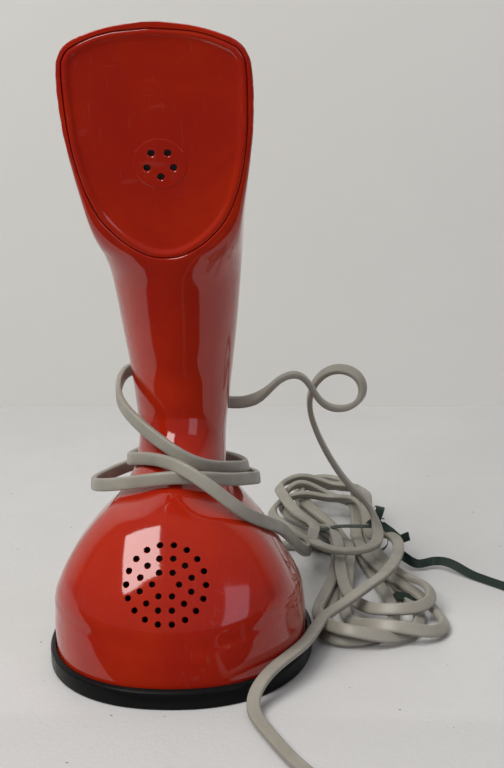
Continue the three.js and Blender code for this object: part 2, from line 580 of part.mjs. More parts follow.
function cordHank() {
  const curve = new THREE.CatmullRomCurve3(HANK_OUTLINE.map(([x, y]) => new THREE.Vector3(x, y, 0)), true, 'centripetal')
  const outline = curve.getPoints(48).slice(0, -1).map((p) => new THREE.Vector2(p.x, p.y))
  return named('cord_hank', slab(outline, HANK.low, HANK.high), 'cord')
}

function hankTie() {
  const { x, y, halfWidth: half, halfLength, thickness, turn } = TIE
  const [low, high] = [HANK.low - GAP, HANK.high + GAP]
  const outer = block([-half - thickness, -halfLength, low - thickness + 0.2], [half + thickness, halfLength, high + thickness])
  const band = outer.subtract(block([-half, -5, low], [half, 5, high]))
  const tie = named('hank_tie', band, 'ribbon')
  tie.position.set(x, y, 0)
  tie.rotation.z = turn
  return tie
}

function ribbonTail() {
  const curve = new THREE.CatmullRomCurve3(TAIL.map(([x, y]) => new THREE.Vector3(x, y, 0)), false, 'centripetal')
  const half = 1.9
  const sides = [[], []]
  for (let i = 0; i <= 24; i++) {
    const [p, along] = [curve.getPoint(i / 24), curve.getTangent(i / 24)]
    sides[0].push(new THREE.Vector2(p.x + along.y * half, p.y - along.x * half))
    sides[1].push(new THREE.Vector2(p.x - along.y * half, p.y + along.x * half))
  }
  return named('ribbon_tail', slab([...sides[0], ...sides[1].reverse()], 0.1, 0.7), 'ribbon')
}

function strainRelief() {
  const outline = [[0, 47], [3.8, 47], [3.8, 49], [3.8, 57], [2.4, RELIEF_END], [0, RELIEF_END]]
  const geometry = solidTurned(turned(outline, 16))
  return named('cord_strain_relief', geometry.rotateX(-Math.PI / 2).translate(0, 0, EXIT_HEIGHT), 'rubber')
}

function plug() {
  const { x, y, z, length, width, height } = PLUG
  const body = block([x, y - width / 2, z - height / 2], [x + length, y + width / 2, z + height / 2])
  const nose = block([x + length - 0.1, y - 4.1, z - 2.6], [x + length + 4, y + 4.1, z + 2.6])
  const latch = block([x + 2, y - 1.6, z + height / 2 + GAP], [x + length + 2, y + 1.6, z + height / 2 + 1.1])
  return [named('modular_plug', body.add(nose), 'clear'), named('plug_latch', latch, 'clear')]
}

function cord() {
  return [
    route('cord_base_run', BASE_RUN, CORD_RADIUS, 8, 8, 'cord'),
    route('cord_neck_run', NECK_RUN, CORD_RADIUS, 8, 76, 'cord'),
    route('cord_front_run', FRONT_RUN, CORD_RADIUS, 8, 20, 'cord'),
    cordHank(),
    hankTie(),
    ribbonTail(),
    ...plug(),
  ]
}

const telephone = new THREE.Group()
telephone.add(
  ...caseHalves(), earPlate(), baseRing(), basePlate(), ...baseScrews(),
  dialCase(), named('number_plate', ring(10, 36.4, 7.1, 8.3, 36), 'ivory'), fingerWheel(), fingerStop(),
  named('dial_shaft', ring(SHAFT.inner, SHAFT.outer, 6.3, 26), 'brass'),
  named('main_gear', gear(MAIN_GEAR, SHAFT.outer + GAP, 17, 19, Math.PI / 2), 'brass'),
  returnSpring(), chassisPlate(), ...chassisPosts(), ...pinionTrain(), ...governor(), pulseContacts(),
  ...hookSwitch(), ...receiver(), ...transmitter(), ...speechCircuit(), ...leads(), strainRelief(), ...cord(),
)

export default telephone
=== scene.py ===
"""The looks of a one-piece upright telephone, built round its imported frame.

The receiver is in the leaning head and the transmitter in the dome of the base. The dial and its hook button are
on the underside. A flat cord leaves the back, lies beside the base in a tied hank and is wound loosely round the
neck. Lengths are in millimetres until a mesh, lamp or cord path is made, which is in metres.
"""

import json
import math

import bmesh
import bpy
import numpy as np
from mathutils import Matrix, Vector
from mathutils.bvhtree import BVHTree


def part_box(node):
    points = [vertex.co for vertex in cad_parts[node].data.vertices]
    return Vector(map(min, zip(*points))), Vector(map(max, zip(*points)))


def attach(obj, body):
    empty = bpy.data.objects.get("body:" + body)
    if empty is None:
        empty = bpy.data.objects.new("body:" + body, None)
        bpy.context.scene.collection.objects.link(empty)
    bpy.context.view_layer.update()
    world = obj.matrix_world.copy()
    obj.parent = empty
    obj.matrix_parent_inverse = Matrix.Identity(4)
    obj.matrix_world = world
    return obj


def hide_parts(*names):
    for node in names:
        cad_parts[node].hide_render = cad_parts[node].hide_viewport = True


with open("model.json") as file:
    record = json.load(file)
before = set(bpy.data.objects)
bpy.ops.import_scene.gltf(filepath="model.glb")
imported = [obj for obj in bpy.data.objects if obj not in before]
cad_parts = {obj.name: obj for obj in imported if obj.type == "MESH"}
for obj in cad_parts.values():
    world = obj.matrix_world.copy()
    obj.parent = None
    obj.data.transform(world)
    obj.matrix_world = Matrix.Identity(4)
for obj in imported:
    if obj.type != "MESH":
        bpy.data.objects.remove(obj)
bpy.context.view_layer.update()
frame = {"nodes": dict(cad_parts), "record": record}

bl_info = {
    "name": "Upright telephone",
    "version": (1, 0, 0),
    "blender": (4, 5, 0),
    "location": "View3D > Sidebar > Telephone",
    "description": "Builds a one-piece upright telephone with its dial, hook button and tied cord",
    "category": "Object",
}

MM = 0.001

# Case: the outline at each height, as half width, front, back, place of the widest point and squareness
WALL = 2.6
SEAM_GAP = 0.02
CASE_FLOOR = 3.0
CASE_TOP = 235.0
CASE_HALF_WIDTH = [
    (0, 46.6), (14, 46.6), (22, 46.1), (28.5, 45.2), (34.7, 42.7), (46.5, 36.3), (55.4, 29.2), (60.5, 23.8),
    (64.7, 19.2), (70, 16.7), (77, 16.3), (92, 17.8), (121, 21.5), (147, 24.5), (168, 27.6), (186, 30.7),
    (200, 32.5), (212, 33), (220, 32.6), (225.4, 30.7), (228.3, 27.7), (231, 21.6), (233.4, 12.8), (235, 0),
]
CASE_FRONT = [
    (0, -52.2), (14, -52.4), (26, -51.8), (36, -48.6), (43, -45), (51.5, -39.5), (58.5, -33.6), (64, -27),
    (68, -20.5), (73, -12), (78.5, -4), (84, 0.8), (90, 2.6), (102, 2), (116, -1.2), (132, -5.6), (147, -10.8),
    (150, -12), (190, -22.3), (235, -34),
]
CASE_BACK = [
    (0, 51.5), (12, 51.8), (24, 51.3), (36, 50), (50, 47.4), (62, 45), (74, 42.8), (86, 41.2), (102, 39),
    (118, 36.3), (134, 32.8), (150, 28), (168, 22), (187, 14.6), (203, 6.5), (217, -3), (227, -13), (232, -20.5),
    (234.3, -26.5), (235, -31),
]
CASE_WIDEST = [
    (0, 0), (20, -3), (40, -17), (52, -17), (60, -15), (66, 6), (72, 17), (80, 24), (100, 27), (120, 25),
    (140, 20), (150, 14), (160, 3), (172, -9), (186, -17.5), (200, -23), (220, -28.5), (235, -33),
]
CASE_FRONT_POWER = [
    (0, 2.25), (28, 2.2), (50, 2.05), (62, 1.95), (70, 1.9), (80, 1.95), (90, 2), (120, 1.95), (140, 2),
    (150, 2.6), (156, 4.2), (170, 9), (200, 9), (235, 8),
]
CASE_BACK_POWER = [(0, 2.25), (28, 2.2), (50, 2), (62, 1.8), (72, 2.1), (235, 2)]
SKIRT_STEP = 0.3
SKIRT_FRONT_HEIGHT = 19.0
SKIRT_SIDE_HEIGHT = 28.5

# Face of the head and its plate: half width by distance up the face from the chin
FACE_CHIN = Vector((0, -12, 150))
FACE_TILT = math.radians(14.5)
FACE_HALF_WIDTH = [
    (0, 0), (0.25, 3.5), (1, 6.4), (3, 10.6), (8, 17.2), (16.8, 24.2), (30, 29.2), (45, 32), (56, 32.8), (67, 33),
    (73.6, 32.6), (79, 30), (83.3, 22.6), (86, 13.4), (87.2, 0),
]
FACE_LEDGE = 5.2
FACE_POINTS = 160
FACE_SIDES = 20.0, 70.0
FACE_CROWN = 17.2
PLATE_MIDDLE_INSET = 5.2
NORMAL_REACH = 0.06
RECESS_INSET = 1.84
RECESS_DEPTH = 2.9
OPENING_INSET = 6.5
OPENING_DEPTH = 9.0
EAR_HOLES = {"count": 5, "circle": 4.8, "radius": 1.25, "height": 36.8}
SPOT_RADIUS = 9.3
SPOT_RISE = 0.16
SPOT_EDGE = 0.35
RIM_DEPTH = 1.0

# Mouthpiece holes in the dome
MOUTH_CENTRE = Vector((0, -45, 43))
MOUTH_TILT = math.radians(25)
MOUTH_HOLE_RADIUS = 1.1
MOUTH_RINGS = [(6, 4.75), (12, 9.4), (18, 14.1)]

# Base ring, dial and hook button
BASE_HALF_WIDTH = 49.0
BASE_HALF_DEPTH = 55.5
BASE_HEIGHT = 7.0
BASE_POWER = 2.2
FOOT_HALF_WIDTH = 46.6
FOOT_HALF_DEPTH = 52.3
FOOT_POWER = 2.25
SCREW_PLACES = [(21.75, 37.7), (-21.75, 37.7), (-21.75, -37.7), (21.75, -37.7)]
FINGER_HOLES = {"count": 10, "circle": 27.5, "radius": 6.2, "first": 20, "pitch": 30}

# Cord: the points of its free runs, the shapes of its hank's lobes, and its ribbon and plug
EXIT_HEIGHT = 11.7
EXIT_RADIUS = 4.4
RELIEF_START = 47.0
RELIEF_END = 76.0
BASE_RUN = [
    (0, 76.3, 11.7), (0.5, 84, 10.6), (3, 92, 7.2), (9, 98.5, 4), (18, 102, 2.6), (28, 103, 2.4), (38, 102.5, 2.4),
    (45.6, 101.5, 3),
]
INTO_HANK = [(52, 99.2, 2.4), (57.5, 92, 1.6)]
OUT_OF_HANK = [(46, 88, 10), (49, 77, 12), (57, 66, 13.4), (67, 66, 13.6), (72.5, 73, 13.4), (74, 83, 14)]
NECK_RUN = [
    (73.2, 90, 17.5), (71.2, 91, 22.5), (67, 89, 29), (61, 87, 36), (56, 85, 44), (51, 83, 54), (48, 81, 62),
    (46, 80, 69), (46, 78, 76), (48, 76, 82), (52, 74.5, 87), (57, 73, 89.5), (62, 71, 89.5), (66.5, 69, 87),
    (68.5, 67, 82), (66.5, 65.5, 77.5), (62, 64, 75), (56, 62, 75.5), (51, 60, 79), (47.3, 58.5, 86),
    (43.6, 57, 91.2), (39.2, 55, 92), (35, 53.5, 90), (30, 51.5, 85.5), (24, 50, 82), (17, 48.5, 82),
    (8, 47.5, 84), (-4, 47.5, 89), (-14, 44, 95), (-21, 35.5, 99.5), (-23.5, 22, 97.5), (-21, 8, 93.5),
    (-14, -1.5, 89), (-5.5, -6.5, 83.5), (4, -10, 78), (11.5, -7, 74), (19, 3.5, 70), (23, 16, 66.2),
    (23.5, 28, 62.8), (20, 40.5, 60.6), (10.5, 50.5, 59.8), (-2, 53, 59.4), (-15, 50.5, 58.5), (-26, 42, 57.4),
    (-32.5, 27, 58.2), (-33.5, 13, 60.8), (-30.5, 2, 63.6), (-23, -7, 66.8), (-12, -16, 71), (0, -19, 73.5),
    (10, -17, 72.8), (20, -7.5, 69), (26.5, 6, 65), (28.5, 17, 61.6), (26, 30, 58.4), (18.5, 41, 56.6),
    (8, 48.6, 55.4), (-3, 49.6, 57), (-12, 46.4, 62), (-18.5, 38, 64.8), (-20.5, 27, 66.6), (-19.5, 14, 70),
    (-15.5, 2, 74), (-7, -10, 77.5), (2, -18.5, 78), (9, -23, 75.5), (17, -24.5, 70), (26, -22, 61.6),
    (32.5, -12, 54.5), (37, 4, 46.5), (39.5, 24, 36), (41, 44, 25.5), (42.5, 62, 16), (44, 76, 9.5), (46.4, 85, 7),
]
ACROSS_HANK = [
    (76, 95, 11), (80.5, 88, 11.6), (82.5, 77, 12), (81, 61, 12), (76.5, 44, 12.2), (69.5, 30, 12.4),
    (61, 16.5, 11),
]
FRONT_RUN = [
    (53.2, 7, 9.4), (50.9, -3, 9.5), (49, -13, 10.2), (46.8, -22, 10.8), (42.3, -33, 11.3), (36.3, -43.5, 10.3),
    (32.2, -50.5, 7.6), (30.5, -55.5, 4.8), (30.8, -60, 2.6), (32.5, -65, 2.1), (35.6, -72, 2.1), (41.5, -85, 2.1),
    (49.5, -100, 2.1), (58, -110.5, 2.1), (67, -116.5, 2.6), (76.7, -118, 3.6),
]
TIE = Vector((62.9, 99.5, 0))
TIE_HALF_WIDTH = 15.4
TIE_HEIGHT = 12.9
HANK_ALONG = Vector((-0.148, 0.989, 0))
HANK_ACROSS = Vector((0.989, 0.148, 0))
# Each lobe: its reach from the tie, half width, lean to the right, places across the tie at its start and its end,
# and its rise
FRONT_LOBES = [
    (100, 13, -14, -2.6, 2.6, 0),
    (103, 15.5, -7.5, -7.6, 7.6, 0),
    (101, 16.5, 9, -2.6, 2.6, 0),
    (83, 11, 10, -7.6, 7.6, 1),
]
REAR_LOBES = [
    (80, 10.5, -2, 2.6, -7.6, 5),
    (66, 11.5, -8, 7.6, -2.6, 4),
    (57, 12.5, -13, 2.6, -7.6, 3),
    (46, 13, -16, 7.6, -13.5, 1.5),
]
LAST_REAR_LOBE = (61, 12.5, -10, -13, 7.4, 6)
LOBE_POINTS = 48
LOBE_SWELL = 0.385
CORD_TILT = math.radians(56)
FULL_TILT_RADIUS = 24.0
OVERLAP_REACH = 4.2
OVERLAP_APART = 22.0
HANK_LIMIT = 14.0
CORD_CLEARANCE = 0.3
REST_SHARE = 0.9
TAIL = [(81.5, 84), (90, 79), (98, 81), (112, 70.5), (125, 58.5), (137.4, 46.4)]
PLUG = {"x": 77, "y": -118, "z": 3.6, "length": 13, "width": 9.6, "height": 6.6}

# Camera and room
CAMERA_PLACE = Vector((73.95, -610.38, 271.34))
CAMERA_TURN = math.radians(4.27)
CAMERA_DOWN = math.radians(15.38)
CAMERA_ROLL = math.radians(-1.23)
CAMERA_LENS = 82.03
WALL_PLACE = 325.0
WALL_HEIGHT = 2500.0
ROOM_REACH = 6000.0
OBJECT_MIDDLE = (0, 0, 60)
DOME_LEFT = (-6, -39, 51)
DOME_RIGHT = (24, -40, 40)
# The card in front of the object: painted shade that shows only in reflections
CARD_HALF_WIDTH = 1300.0
CARD_NEAR = -57.0
CARD_FAR = -2000.0
CARD_HEIGHT = 2.0


# Sizes and colours that a user would change
class TelephoneSizes(bpy.types.PropertyGroup):
    """Sizes of the pieces, in metres"""

    cord_width: bpy.props.FloatProperty(
        name="Cord width", description="Width of the flat cord", default=0.0048, min=0.003, max=0.008,
        unit="LENGTH", precision=4,
    )
    cord_thickness: bpy.props.FloatProperty(
        name="Cord thickness", description="Thickness of the flat cord", default=0.0023, min=0.0012, max=0.005,
        unit="LENGTH", precision=4,
    )
    ribbon_width: bpy.props.FloatProperty(
        name="Ribbon width", description="Width of the ribbon that ties the hank", default=0.0038, min=0.002,
        max=0.008, unit="LENGTH", precision=4,
    )
    rim_rounding: bpy.props.FloatProperty(
        name="Face rim rounding", description="Radius on the inner edge of the rim round the face", default=0.0006,
        min=0.0003, max=0.002, unit="LENGTH", precision=4,
    )
    dish_depth: bpy.props.FloatProperty(
        name="Ear dish depth", description="Depth of the hollow in the ear plate", default=0.0021, min=0.0005,
        max=0.0023, unit="LENGTH", precision=4,
    )


def colour_property(name, description, default):
    """A colour that a user would change."""
    return bpy.props.FloatVectorProperty(
        name=name, description=description, default=default, size=3, min=0, max=1, subtype="COLOR"
    )


class TelephoneColours(bpy.types.PropertyGroup):
    """Colours of the finishes"""

    case: colour_property("Case", "Glossy moulded case", (0.34, 0.0155, 0.0022))
    case_shade: colour_property("Case shade", "Deeper tone that clouds the case", (0.29, 0.0095, 0.003))
    rubber: colour_property("Rubber", "Base ring and strain relief", (0.005, 0.005, 0.005))
    cord: colour_property("Cord", "Sheath of the flat cord", (0.27, 0.255, 0.212))
    ribbon: colour_property("Ribbon", "Ribbon that ties the hank", (0.0008, 0.014, 0.009))
    ivory: colour_property("Ivory", "Finger wheel and number plate", (0.72, 0.66, 0.52))
    button: colour_property("Button", "Hook button in the middle of the dial", (0.45, 0.02, 0.01))
    table: colour_property("Table", "Table top", (0.53, 0.53, 0.525))
    wall: colour_property("Wall", "Wall behind", (0.62, 0.62, 0.59))


def sizes():
    """The sizes that a user may have changed."""
    return bpy.context.scene.telephone_sizes


def colours():
    """The colours that a user may have changed."""
    return bpy.context.scene.telephone_colours


# Curves and outlines
def profile(points):
    """A smooth curve through (place, value) points that never swings past them."""
    steps = [(b[1] - a[1]) / (b[0] - a[0]) for a, b in zip(points, points[1:])]
    slopes = [steps[0]]
    for before, after in zip(steps, steps[1:]):
        slopes.append(0.0 if before * after <= 0 else 2 * before * after / (before + after))
    slopes.append(steps[-1])

    def value(place):
        i = 0
        while i < len(points) - 2 and points[i + 1][0] < place:
            i += 1
        span = points[i + 1][0] - points[i][0]
        t = min(max((place - points[i][0]) / span, 0.0), 1.0)
        h = t * t * (3 - 2 * t)
        bend_in = t * (1 - t) * (1 - t) * span
        bend_out = t * t * (t - 1) * span
        return points[i][1] * (1 - h) + points[i + 1][1] * h + bend_in * slopes[i] + bend_out * slopes[i + 1]

    return value


half_width = profile(CASE_HALF_WIDTH)
front = profile(CASE_FRONT)
back = profile(CASE_BACK)
widest = profile(CASE_WIDEST)
front_power = profile(CASE_FRONT_POWER)
back_power = profile(CASE_BACK_POWER)
face_half_width = profile(FACE_HALF_WIDTH)


def smooth(low, high, value):
    """From 0 at low to 1 at high, with soft ends."""
    t = min(max((value - low) / (high - low), 0.0), 1.0)
    return t * t * (3 - 2 * t)


def signed_power(value, power):
    """A power that keeps the value's sign."""
    return math.copysign(abs(value) ** power, value)


def evenly(points, count):
    """The same line as count + 1 points at equal distances along it."""
    line = np.array(points, dtype=float)
    reach = np.concatenate([[0], np.cumsum(np.linalg.norm(np.diff(line, axis=0), axis=1))])
    places = np.linspace(0, reach[-1], count + 1)
    return np.stack([np.interp(places, reach, line[:, k]) for k in range(line.shape[1])], axis=1)


def smooth_curve(points, step):
    """Points about a step apart on a centripetal curve through the given points."""
    line = [Vector(p) for p in points]
    line = [2 * line[0] - line[1], *line, 2 * line[-1] - line[-2]]
    found = []
    for p0, p1, p2, p3 in zip(line, line[1:], line[2:], line[3:]):
        t0 = 0.0
        t1 = t0 + math.sqrt((p1 - p0).length)
        t2 = t1 + math.sqrt((p2 - p1).length)
        t3 = t2 + math.sqrt((p3 - p2).length)
        pieces = max(2, round((p2 - p1).length / step))
        for i in range(pieces):
            t = t1 + (t2 - t1) * i / pieces
            a1 = p0.lerp(p1, (t - t0) / (t1 - t0))
            a2 = p1.lerp(p2, (t - t1) / (t2 - t1))
            a3 = p2.lerp(p3, (t - t2) / (t3 - t2))
            b1 = a1.lerp(a2, (t - t0) / (t2 - t0))
            b2 = a2.lerp(a3, (t - t1) / (t3 - t1))
            found.append(b1.lerp(b2, (t - t1) / (t2 - t1)))
    return [*found, line[-2]]


def super_ellipse(half_x, half_y, power, count, z=0.0):
    """A closed outline between an ellipse and a rectangle."""
    found = []
    for i in range(count):
        angle = 2 * math.pi * i / count
        c, s = math.cos(angle), math.sin(angle)
        found.append((half_x * signed_power(c, 2 / power), half_y * signed_power(s, 2 / power), z))
    return found


# Meshes
def new_piece(name, verts, faces, body, material, slot, sharp_angle=35):
    """A mesh piece, in millimetres, that rides on a body."""
    mesh = bpy.data.meshes.new(name)
    mesh.from_pydata([Vector(v) * MM for v in verts], [], faces)
    mesh.validate()
    return finish_piece(name, mesh, body, material, sharp_angle)


def finish_piece(name, mesh, body, material, sharp_angle=35):
    """A piece from a mesh, cleaned, shaded and given its body and finish."""
    tidy_mesh(mesh)
    soften(mesh, sharp_angle)
    piece = bpy.data.objects.new(name, mesh)
    bpy.context.collection.objects.link(piece)
    mesh.materials.clear()
    mesh.materials.append(material)
    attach(piece, body)
    return piece


def tidy_mesh(mesh):
    """Merges doubled points, drops faces with no area and turns every face outwards."""
    bm = bmesh.new()
    bm.from_mesh(mesh)
    bmesh.ops.remove_doubles(bm, verts=bm.verts, dist=2e-6)
    bmesh.ops.dissolve_degenerate(bm, edges=bm.edges, dist=1e-6)
    loose = [v for v in bm.verts if not v.link_faces]
    bmesh.ops.delete(bm, geom=loose, context="VERTS")
    bmesh.ops.recalc_face_normals(bm, faces=bm.faces)
    bm.to_mesh(mesh)
    bm.free()


def soften(mesh, sharp_angle):
    """Smooth shading, with edges over the angle kept sharp."""
    bm = bmesh.new()
    bm.from_mesh(mesh)
    limit = math.radians(sharp_angle)
    for face in bm.faces:
        face.smooth = True
    for edge in bm.edges:
        edge.smooth = len(edge.link_faces) != 2 or edge.calc_face_angle(0.0) < limit
    bm.to_mesh(mesh)
    bm.free()


def grid_faces(rows, columns, wrap_columns=False, wrap_rows=False):
    """Faces between neighbouring rows of points."""
    faces = []
    for i in range(rows if wrap_rows else rows - 1):
        for j in range(columns if wrap_columns else columns - 1):
            a = i * columns + j
            b = i * columns + (j + 1) % columns
            c = ((i + 1) % rows) * columns + (j + 1) % columns
            d = ((i + 1) % rows) * columns + j
            faces.append((a, b, c, d))
    return faces


def lofted(rows, close_ends=True):
    """Points and faces of a solid through closed outlines of equal counts."""
    count = len(rows[0])
    verts = [p for row in rows for p in row]
    faces = grid_faces(len(rows), count, wrap_columns=True)
    if close_ends:
        faces.append(tuple(reversed(range(count))))
        faces.append(tuple(range((len(rows) - 1) * count, len(rows) * count)))
    return verts, faces


def turned(outline, count=96, centre=(0, 0)):
    """Points and faces of an outline of (radius, height) points turned about a vertical line."""
    verts = []
    for radius, height in outline:
        for i in range(count):
            angle = 2 * math.pi * i / count
            x = centre[0] + radius * math.cos(angle)
            y = centre[1] + radius * math.sin(angle)
            verts.append((x, y, height))
    closed = outline[0][0] > 0.01
    faces = grid_faces(len(outline), count, wrap_columns=True, wrap_rows=closed)
    return verts, faces


def arc(centre, radius, start, end, count=6):
    """Points on an arc, by angles in degrees."""
    found = []
    for i in range(count + 1):
        angle = math.radians(start + (end - start) * i / count)
        found.append((centre[0] + radius * math.cos(angle), centre[1] + radius * math.sin(angle)))
    return found


def tool(verts, faces):
    """A throwaway solid for a cut."""
    mesh = bpy.data.meshes.new("cut_tool")
    mesh.from_pydata([Vector(v) * MM for v in verts], [], faces)
    tidy_mesh(mesh)
    made = bpy.data.objects.new("cut_tool", mesh)
    bpy.context.collection.objects.link(made)
    return made


def joined(parts):
    """One list of points and faces from several."""
    verts, faces = [], []
    for more_verts, more_faces in parts:
        shift = len(verts)
        verts.extend(more_verts)
        faces.extend(tuple(i + shift for i in face) for face in more_faces)
    return verts, faces


def cut(mesh, verts, faces, operation="DIFFERENCE"):
    """The mesh with a solid cut from it."""
    blank = bpy.data.objects.new("cut_blank", mesh)
    bpy.context.collection.objects.link(blank)
    cutter = tool(verts, faces)
    step = blank.modifiers.new("cut", "BOOLEAN")
    step.operation = operation
    step.solver = "EXACT"
    step.object = cutter
    shaped = blank.evaluated_get(bpy.context.evaluated_depsgraph_get())
    result = bpy.data.meshes.new_from_object(shaped)
    for spare in (blank, cutter):
        data = spare.data
        bpy.data.objects.remove(spare)
        bpy.data.meshes.remove(data)
    return result


def drill(start, direction, radius, depth, flare=0.35, count=20):
    """A round drill with a flared mouth, from a little in front of the start."""
    direction = Vector(direction).normalized()
    side = direction.orthogonal().normalized()
    other = direction.cross(side)
    rows = []
    for along, r in [(-3.0, radius + flare), (-0.02, radius + flare), (flare * 0.4, radius + flare * 0.35),
                     (flare, radius), (depth, radius)]:
        centre = Vector(start) + direction * along
        ring = []
        for i in range(count):
            angle = 2 * math.pi * (i + 0.37) / count
            ring.append(centre + (side * math.cos(angle) + other * math.sin(angle)) * r)
        rows.append(ring)
    return lofted(rows)


def borrow_normals(mesh, source):
    """Gives each corner that lies on the smooth source surface that surface's own normal."""
    bm = bmesh.new()
    bm.from_mesh(source)
    bmesh.ops.triangulate(bm, faces=bm.faces)
    bm.normal_update()
    tree = BVHTree.FromBMesh(bm)
    bm.faces.ensure_lookup_table()
    kept = [tuple(c.vector) for c in mesh.corner_normals]
    found = {}
    for polygon in mesh.polygons:
        for corner in polygon.loop_indices:
            index = mesh.loops[corner].vertex_index
            if index not in found:
                place = mesh.vertices[index].co
                spot, _, face_index, distance = tree.find_nearest(place)
                found[index] = None
                if spot is not None and distance < NORMAL_REACH * MM:
                    found[index] = blended_normal(bm.faces[face_index], spot)
            smooth_normal = found[index]
            if smooth_normal is not None and smooth_normal.dot(polygon.normal) > 0.9:
                kept[corner] = tuple(smooth_normal)
    bm.free()
    mesh.normals_split_custom_set(kept)


def blended_normal(face, spot):
    """The normal at a spot in a triangle, between those of its corners."""
    a, b, c = (v.co for v in face.verts)
    area = (b - a).cross(c - a).length
    if area == 0:
        return face.normal.copy()
    wa = (b - spot).cross(c - spot).length / area
    wb = (c - spot).cross(a - spot).length / area
    wc = (a - spot).cross(b - spot).length / area
    blend = face.verts[0].normal * wa + face.verts[1].normal * wb + face.verts[2].normal * wc
    return blend.normalized()


# Node groups shared by the finishes
def group(name, inputs, outputs):
    """An empty node group with float inputs and the given outputs."""
    tree = bpy.data.node_groups.new(name, "ShaderNodeTree")
    for label, value in inputs:
        socket = tree.interface.new_socket(name=label, in_out="INPUT", socket_type="NodeSocketFloat")
        socket.default_value = value
    for label in outputs:
        tree.interface.new_socket(name=label, in_out="OUTPUT", socket_type="NodeSocketFloat")
    entry = tree.nodes.new("NodeGroupInput")
    leave = tree.nodes.new("NodeGroupOutput")
    return tree, entry, leave


def node(tree, kind, values=(), **settings):
    """A node with its settings, and values for its inputs by name or number."""
    made = tree.nodes.new(kind)
    for key, value in settings.items():
        setattr(made, key, value)
    for key, value in dict(values).items():
        made.inputs[key].default_value = value
    return made


def link(tree, source, output, target, socket):
    """A wire from one node's output to another's input."""
    tree.links.new(source.outputs[output], target.inputs[socket])


def maths(tree, operation, first, second=None, clamp=False):
    """A Math node. Each value is a number or a (node, output) pair."""
    made = node(tree, "ShaderNodeMath", operation=operation, use_clamp=clamp)
    for index, value in enumerate((first, second)):
        if value is None:
            continue
        if isinstance(value, tuple):
            link(tree, value[0], value[1], made, index)
        else:
            made.inputs[index].default_value = value
    return made, 0


def spread(tree, value, low, high, to_low=0.0, to_high=1.0):
    """A Map Range node from a (node, output) pair."""
    limits = {"From Min": low, "From Max": high, "To Min": to_low, "To Max": to_high}
    made = node(tree, "ShaderNodeMapRange", limits)
    made.interpolation_type = "SMOOTHSTEP"
    link(tree, value[0], value[1], made, "Value")
    return made, 0


def moulded_grain_group():
    """Faint waviness and clouding of moulded surfaces."""
    inputs = [("Grain Scale", 900.0), ("Cloud Scale", 30.0)]
    tree, entry, leave = group("moulded_grain", inputs, ["Height", "Cloud"])
    place = node(tree, "ShaderNodeTexCoord")
    grain = node(tree, "ShaderNodeTexNoise", {"Detail": 4.0, "Roughness": 0.6})
    cloud = node(tree, "ShaderNodeTexNoise", {"Detail": 5.0, "Roughness": 0.62, "Distortion": 0.4})
    link(tree, place, "Object", grain, "Vector")
    link(tree, place, "Object", cloud, "Vector")
    link(tree, entry, "Grain Scale", grain, "Scale")
    link(tree, entry, "Cloud Scale", cloud, "Scale")
    link(tree, grain, 0, leave, "Height")
    clouded = spread(tree, (cloud, 0), 0.32, 0.68)
    link(tree, *clouded, leave, "Cloud")
    return tree


def scuffs_group():
    """Fine straight rub marks in patches."""
    tree, entry, leave = group("scuffs", [("Scale", 60.0), ("Amount", 0.5)], ["Mask"])
    place = node(tree, "ShaderNodeTexCoord")
    total = None
    for turn, stretch in ((0.4, (1, 14, 3)), (-0.9, (16, 1, 2)), (1.3, (9, 2, 1))):
        mapping = node(tree, "ShaderNodeMapping", {"Rotation": (turn, turn * 0.7, turn * 1.9), "Scale": stretch})
        link(tree, place, "Object", mapping, "Vector")
        streak = node(tree, "ShaderNodeTexNoise", {"Detail": 2.0, "Roughness": 0.5})
        link(tree, mapping, 0, streak, "Vector")
        link(tree, entry, "Scale", streak, "Scale")
        line = spread(tree, (streak, 0), 0.66, 0.72)
        total = line if total is None else maths(tree, "MAXIMUM", total, line)
    patch = node(tree, "ShaderNodeTexNoise", {"Scale": 26.0, "Detail": 3.0})
    link(tree, place, "Object", patch, "Vector")
    where = spread(tree, (patch, 0), 0.45, 0.65)
    masked = maths(tree, "MULTIPLY", total, where)
    scaled = maths(tree, "MULTIPLY", masked, (entry, "Amount"), clamp=True)
    link(tree, *scaled, leave, "Mask")
    return tree


def dust_group():
    """Dust that settles on faces that look up."""
    tree, entry, leave = group("settled_dust", [("Scale", 220.0), ("Amount", 0.5)], ["Mask"])
    place = node(tree, "ShaderNodeTexCoord")
    facing = node(tree, "ShaderNodeSeparateXYZ")
    link(tree, place, "Normal", facing, 0)
    upward = spread(tree, (facing, "Z"), 0.35, 0.95)
    fine = node(tree, "ShaderNodeTexNoise", {"Detail": 6.0, "Roughness": 0.75})
    link(tree, place, "Object", fine, "Vector")
    link(tree, entry, "Scale", fine, "Scale")
    specks = spread(tree, (fine, 0), 0.55, 0.75)
    laid = maths(tree, "MULTIPLY", upward, specks)
    scaled = maths(tree, "MULTIPLY", laid, (entry, "Amount"), clamp=True)
    link(tree, *scaled, leave, "Mask")
    return tree


GROUPS = {"moulded_grain": moulded_grain_group, "scuffs": scuffs_group, "settled_dust": dust_group}


def effect(tree, name, **values):
    """One of the shared node groups, with its own values."""
    shared = bpy.data.node_groups.get(name) or GROUPS[name]()
    made = node(tree, "ShaderNodeGroup", node_tree=shared)
    for key, value in values.items():
        made.inputs[key.replace("_", " ").title()].default_value = value
    return made


# Finishes
def start_material(name, **constants):
    """A new material's tree and its Principled BSDF, with constants on the shader's own sockets."""
    material = bpy.data.materials.new(name)
    material.use_nodes = True
    tree = material.node_tree
    shader = tree.nodes["Principled BSDF"]
    for key, value in constants.items():
        shader.inputs[key.replace("_", " ")].default_value = value
    return material, tree, shader


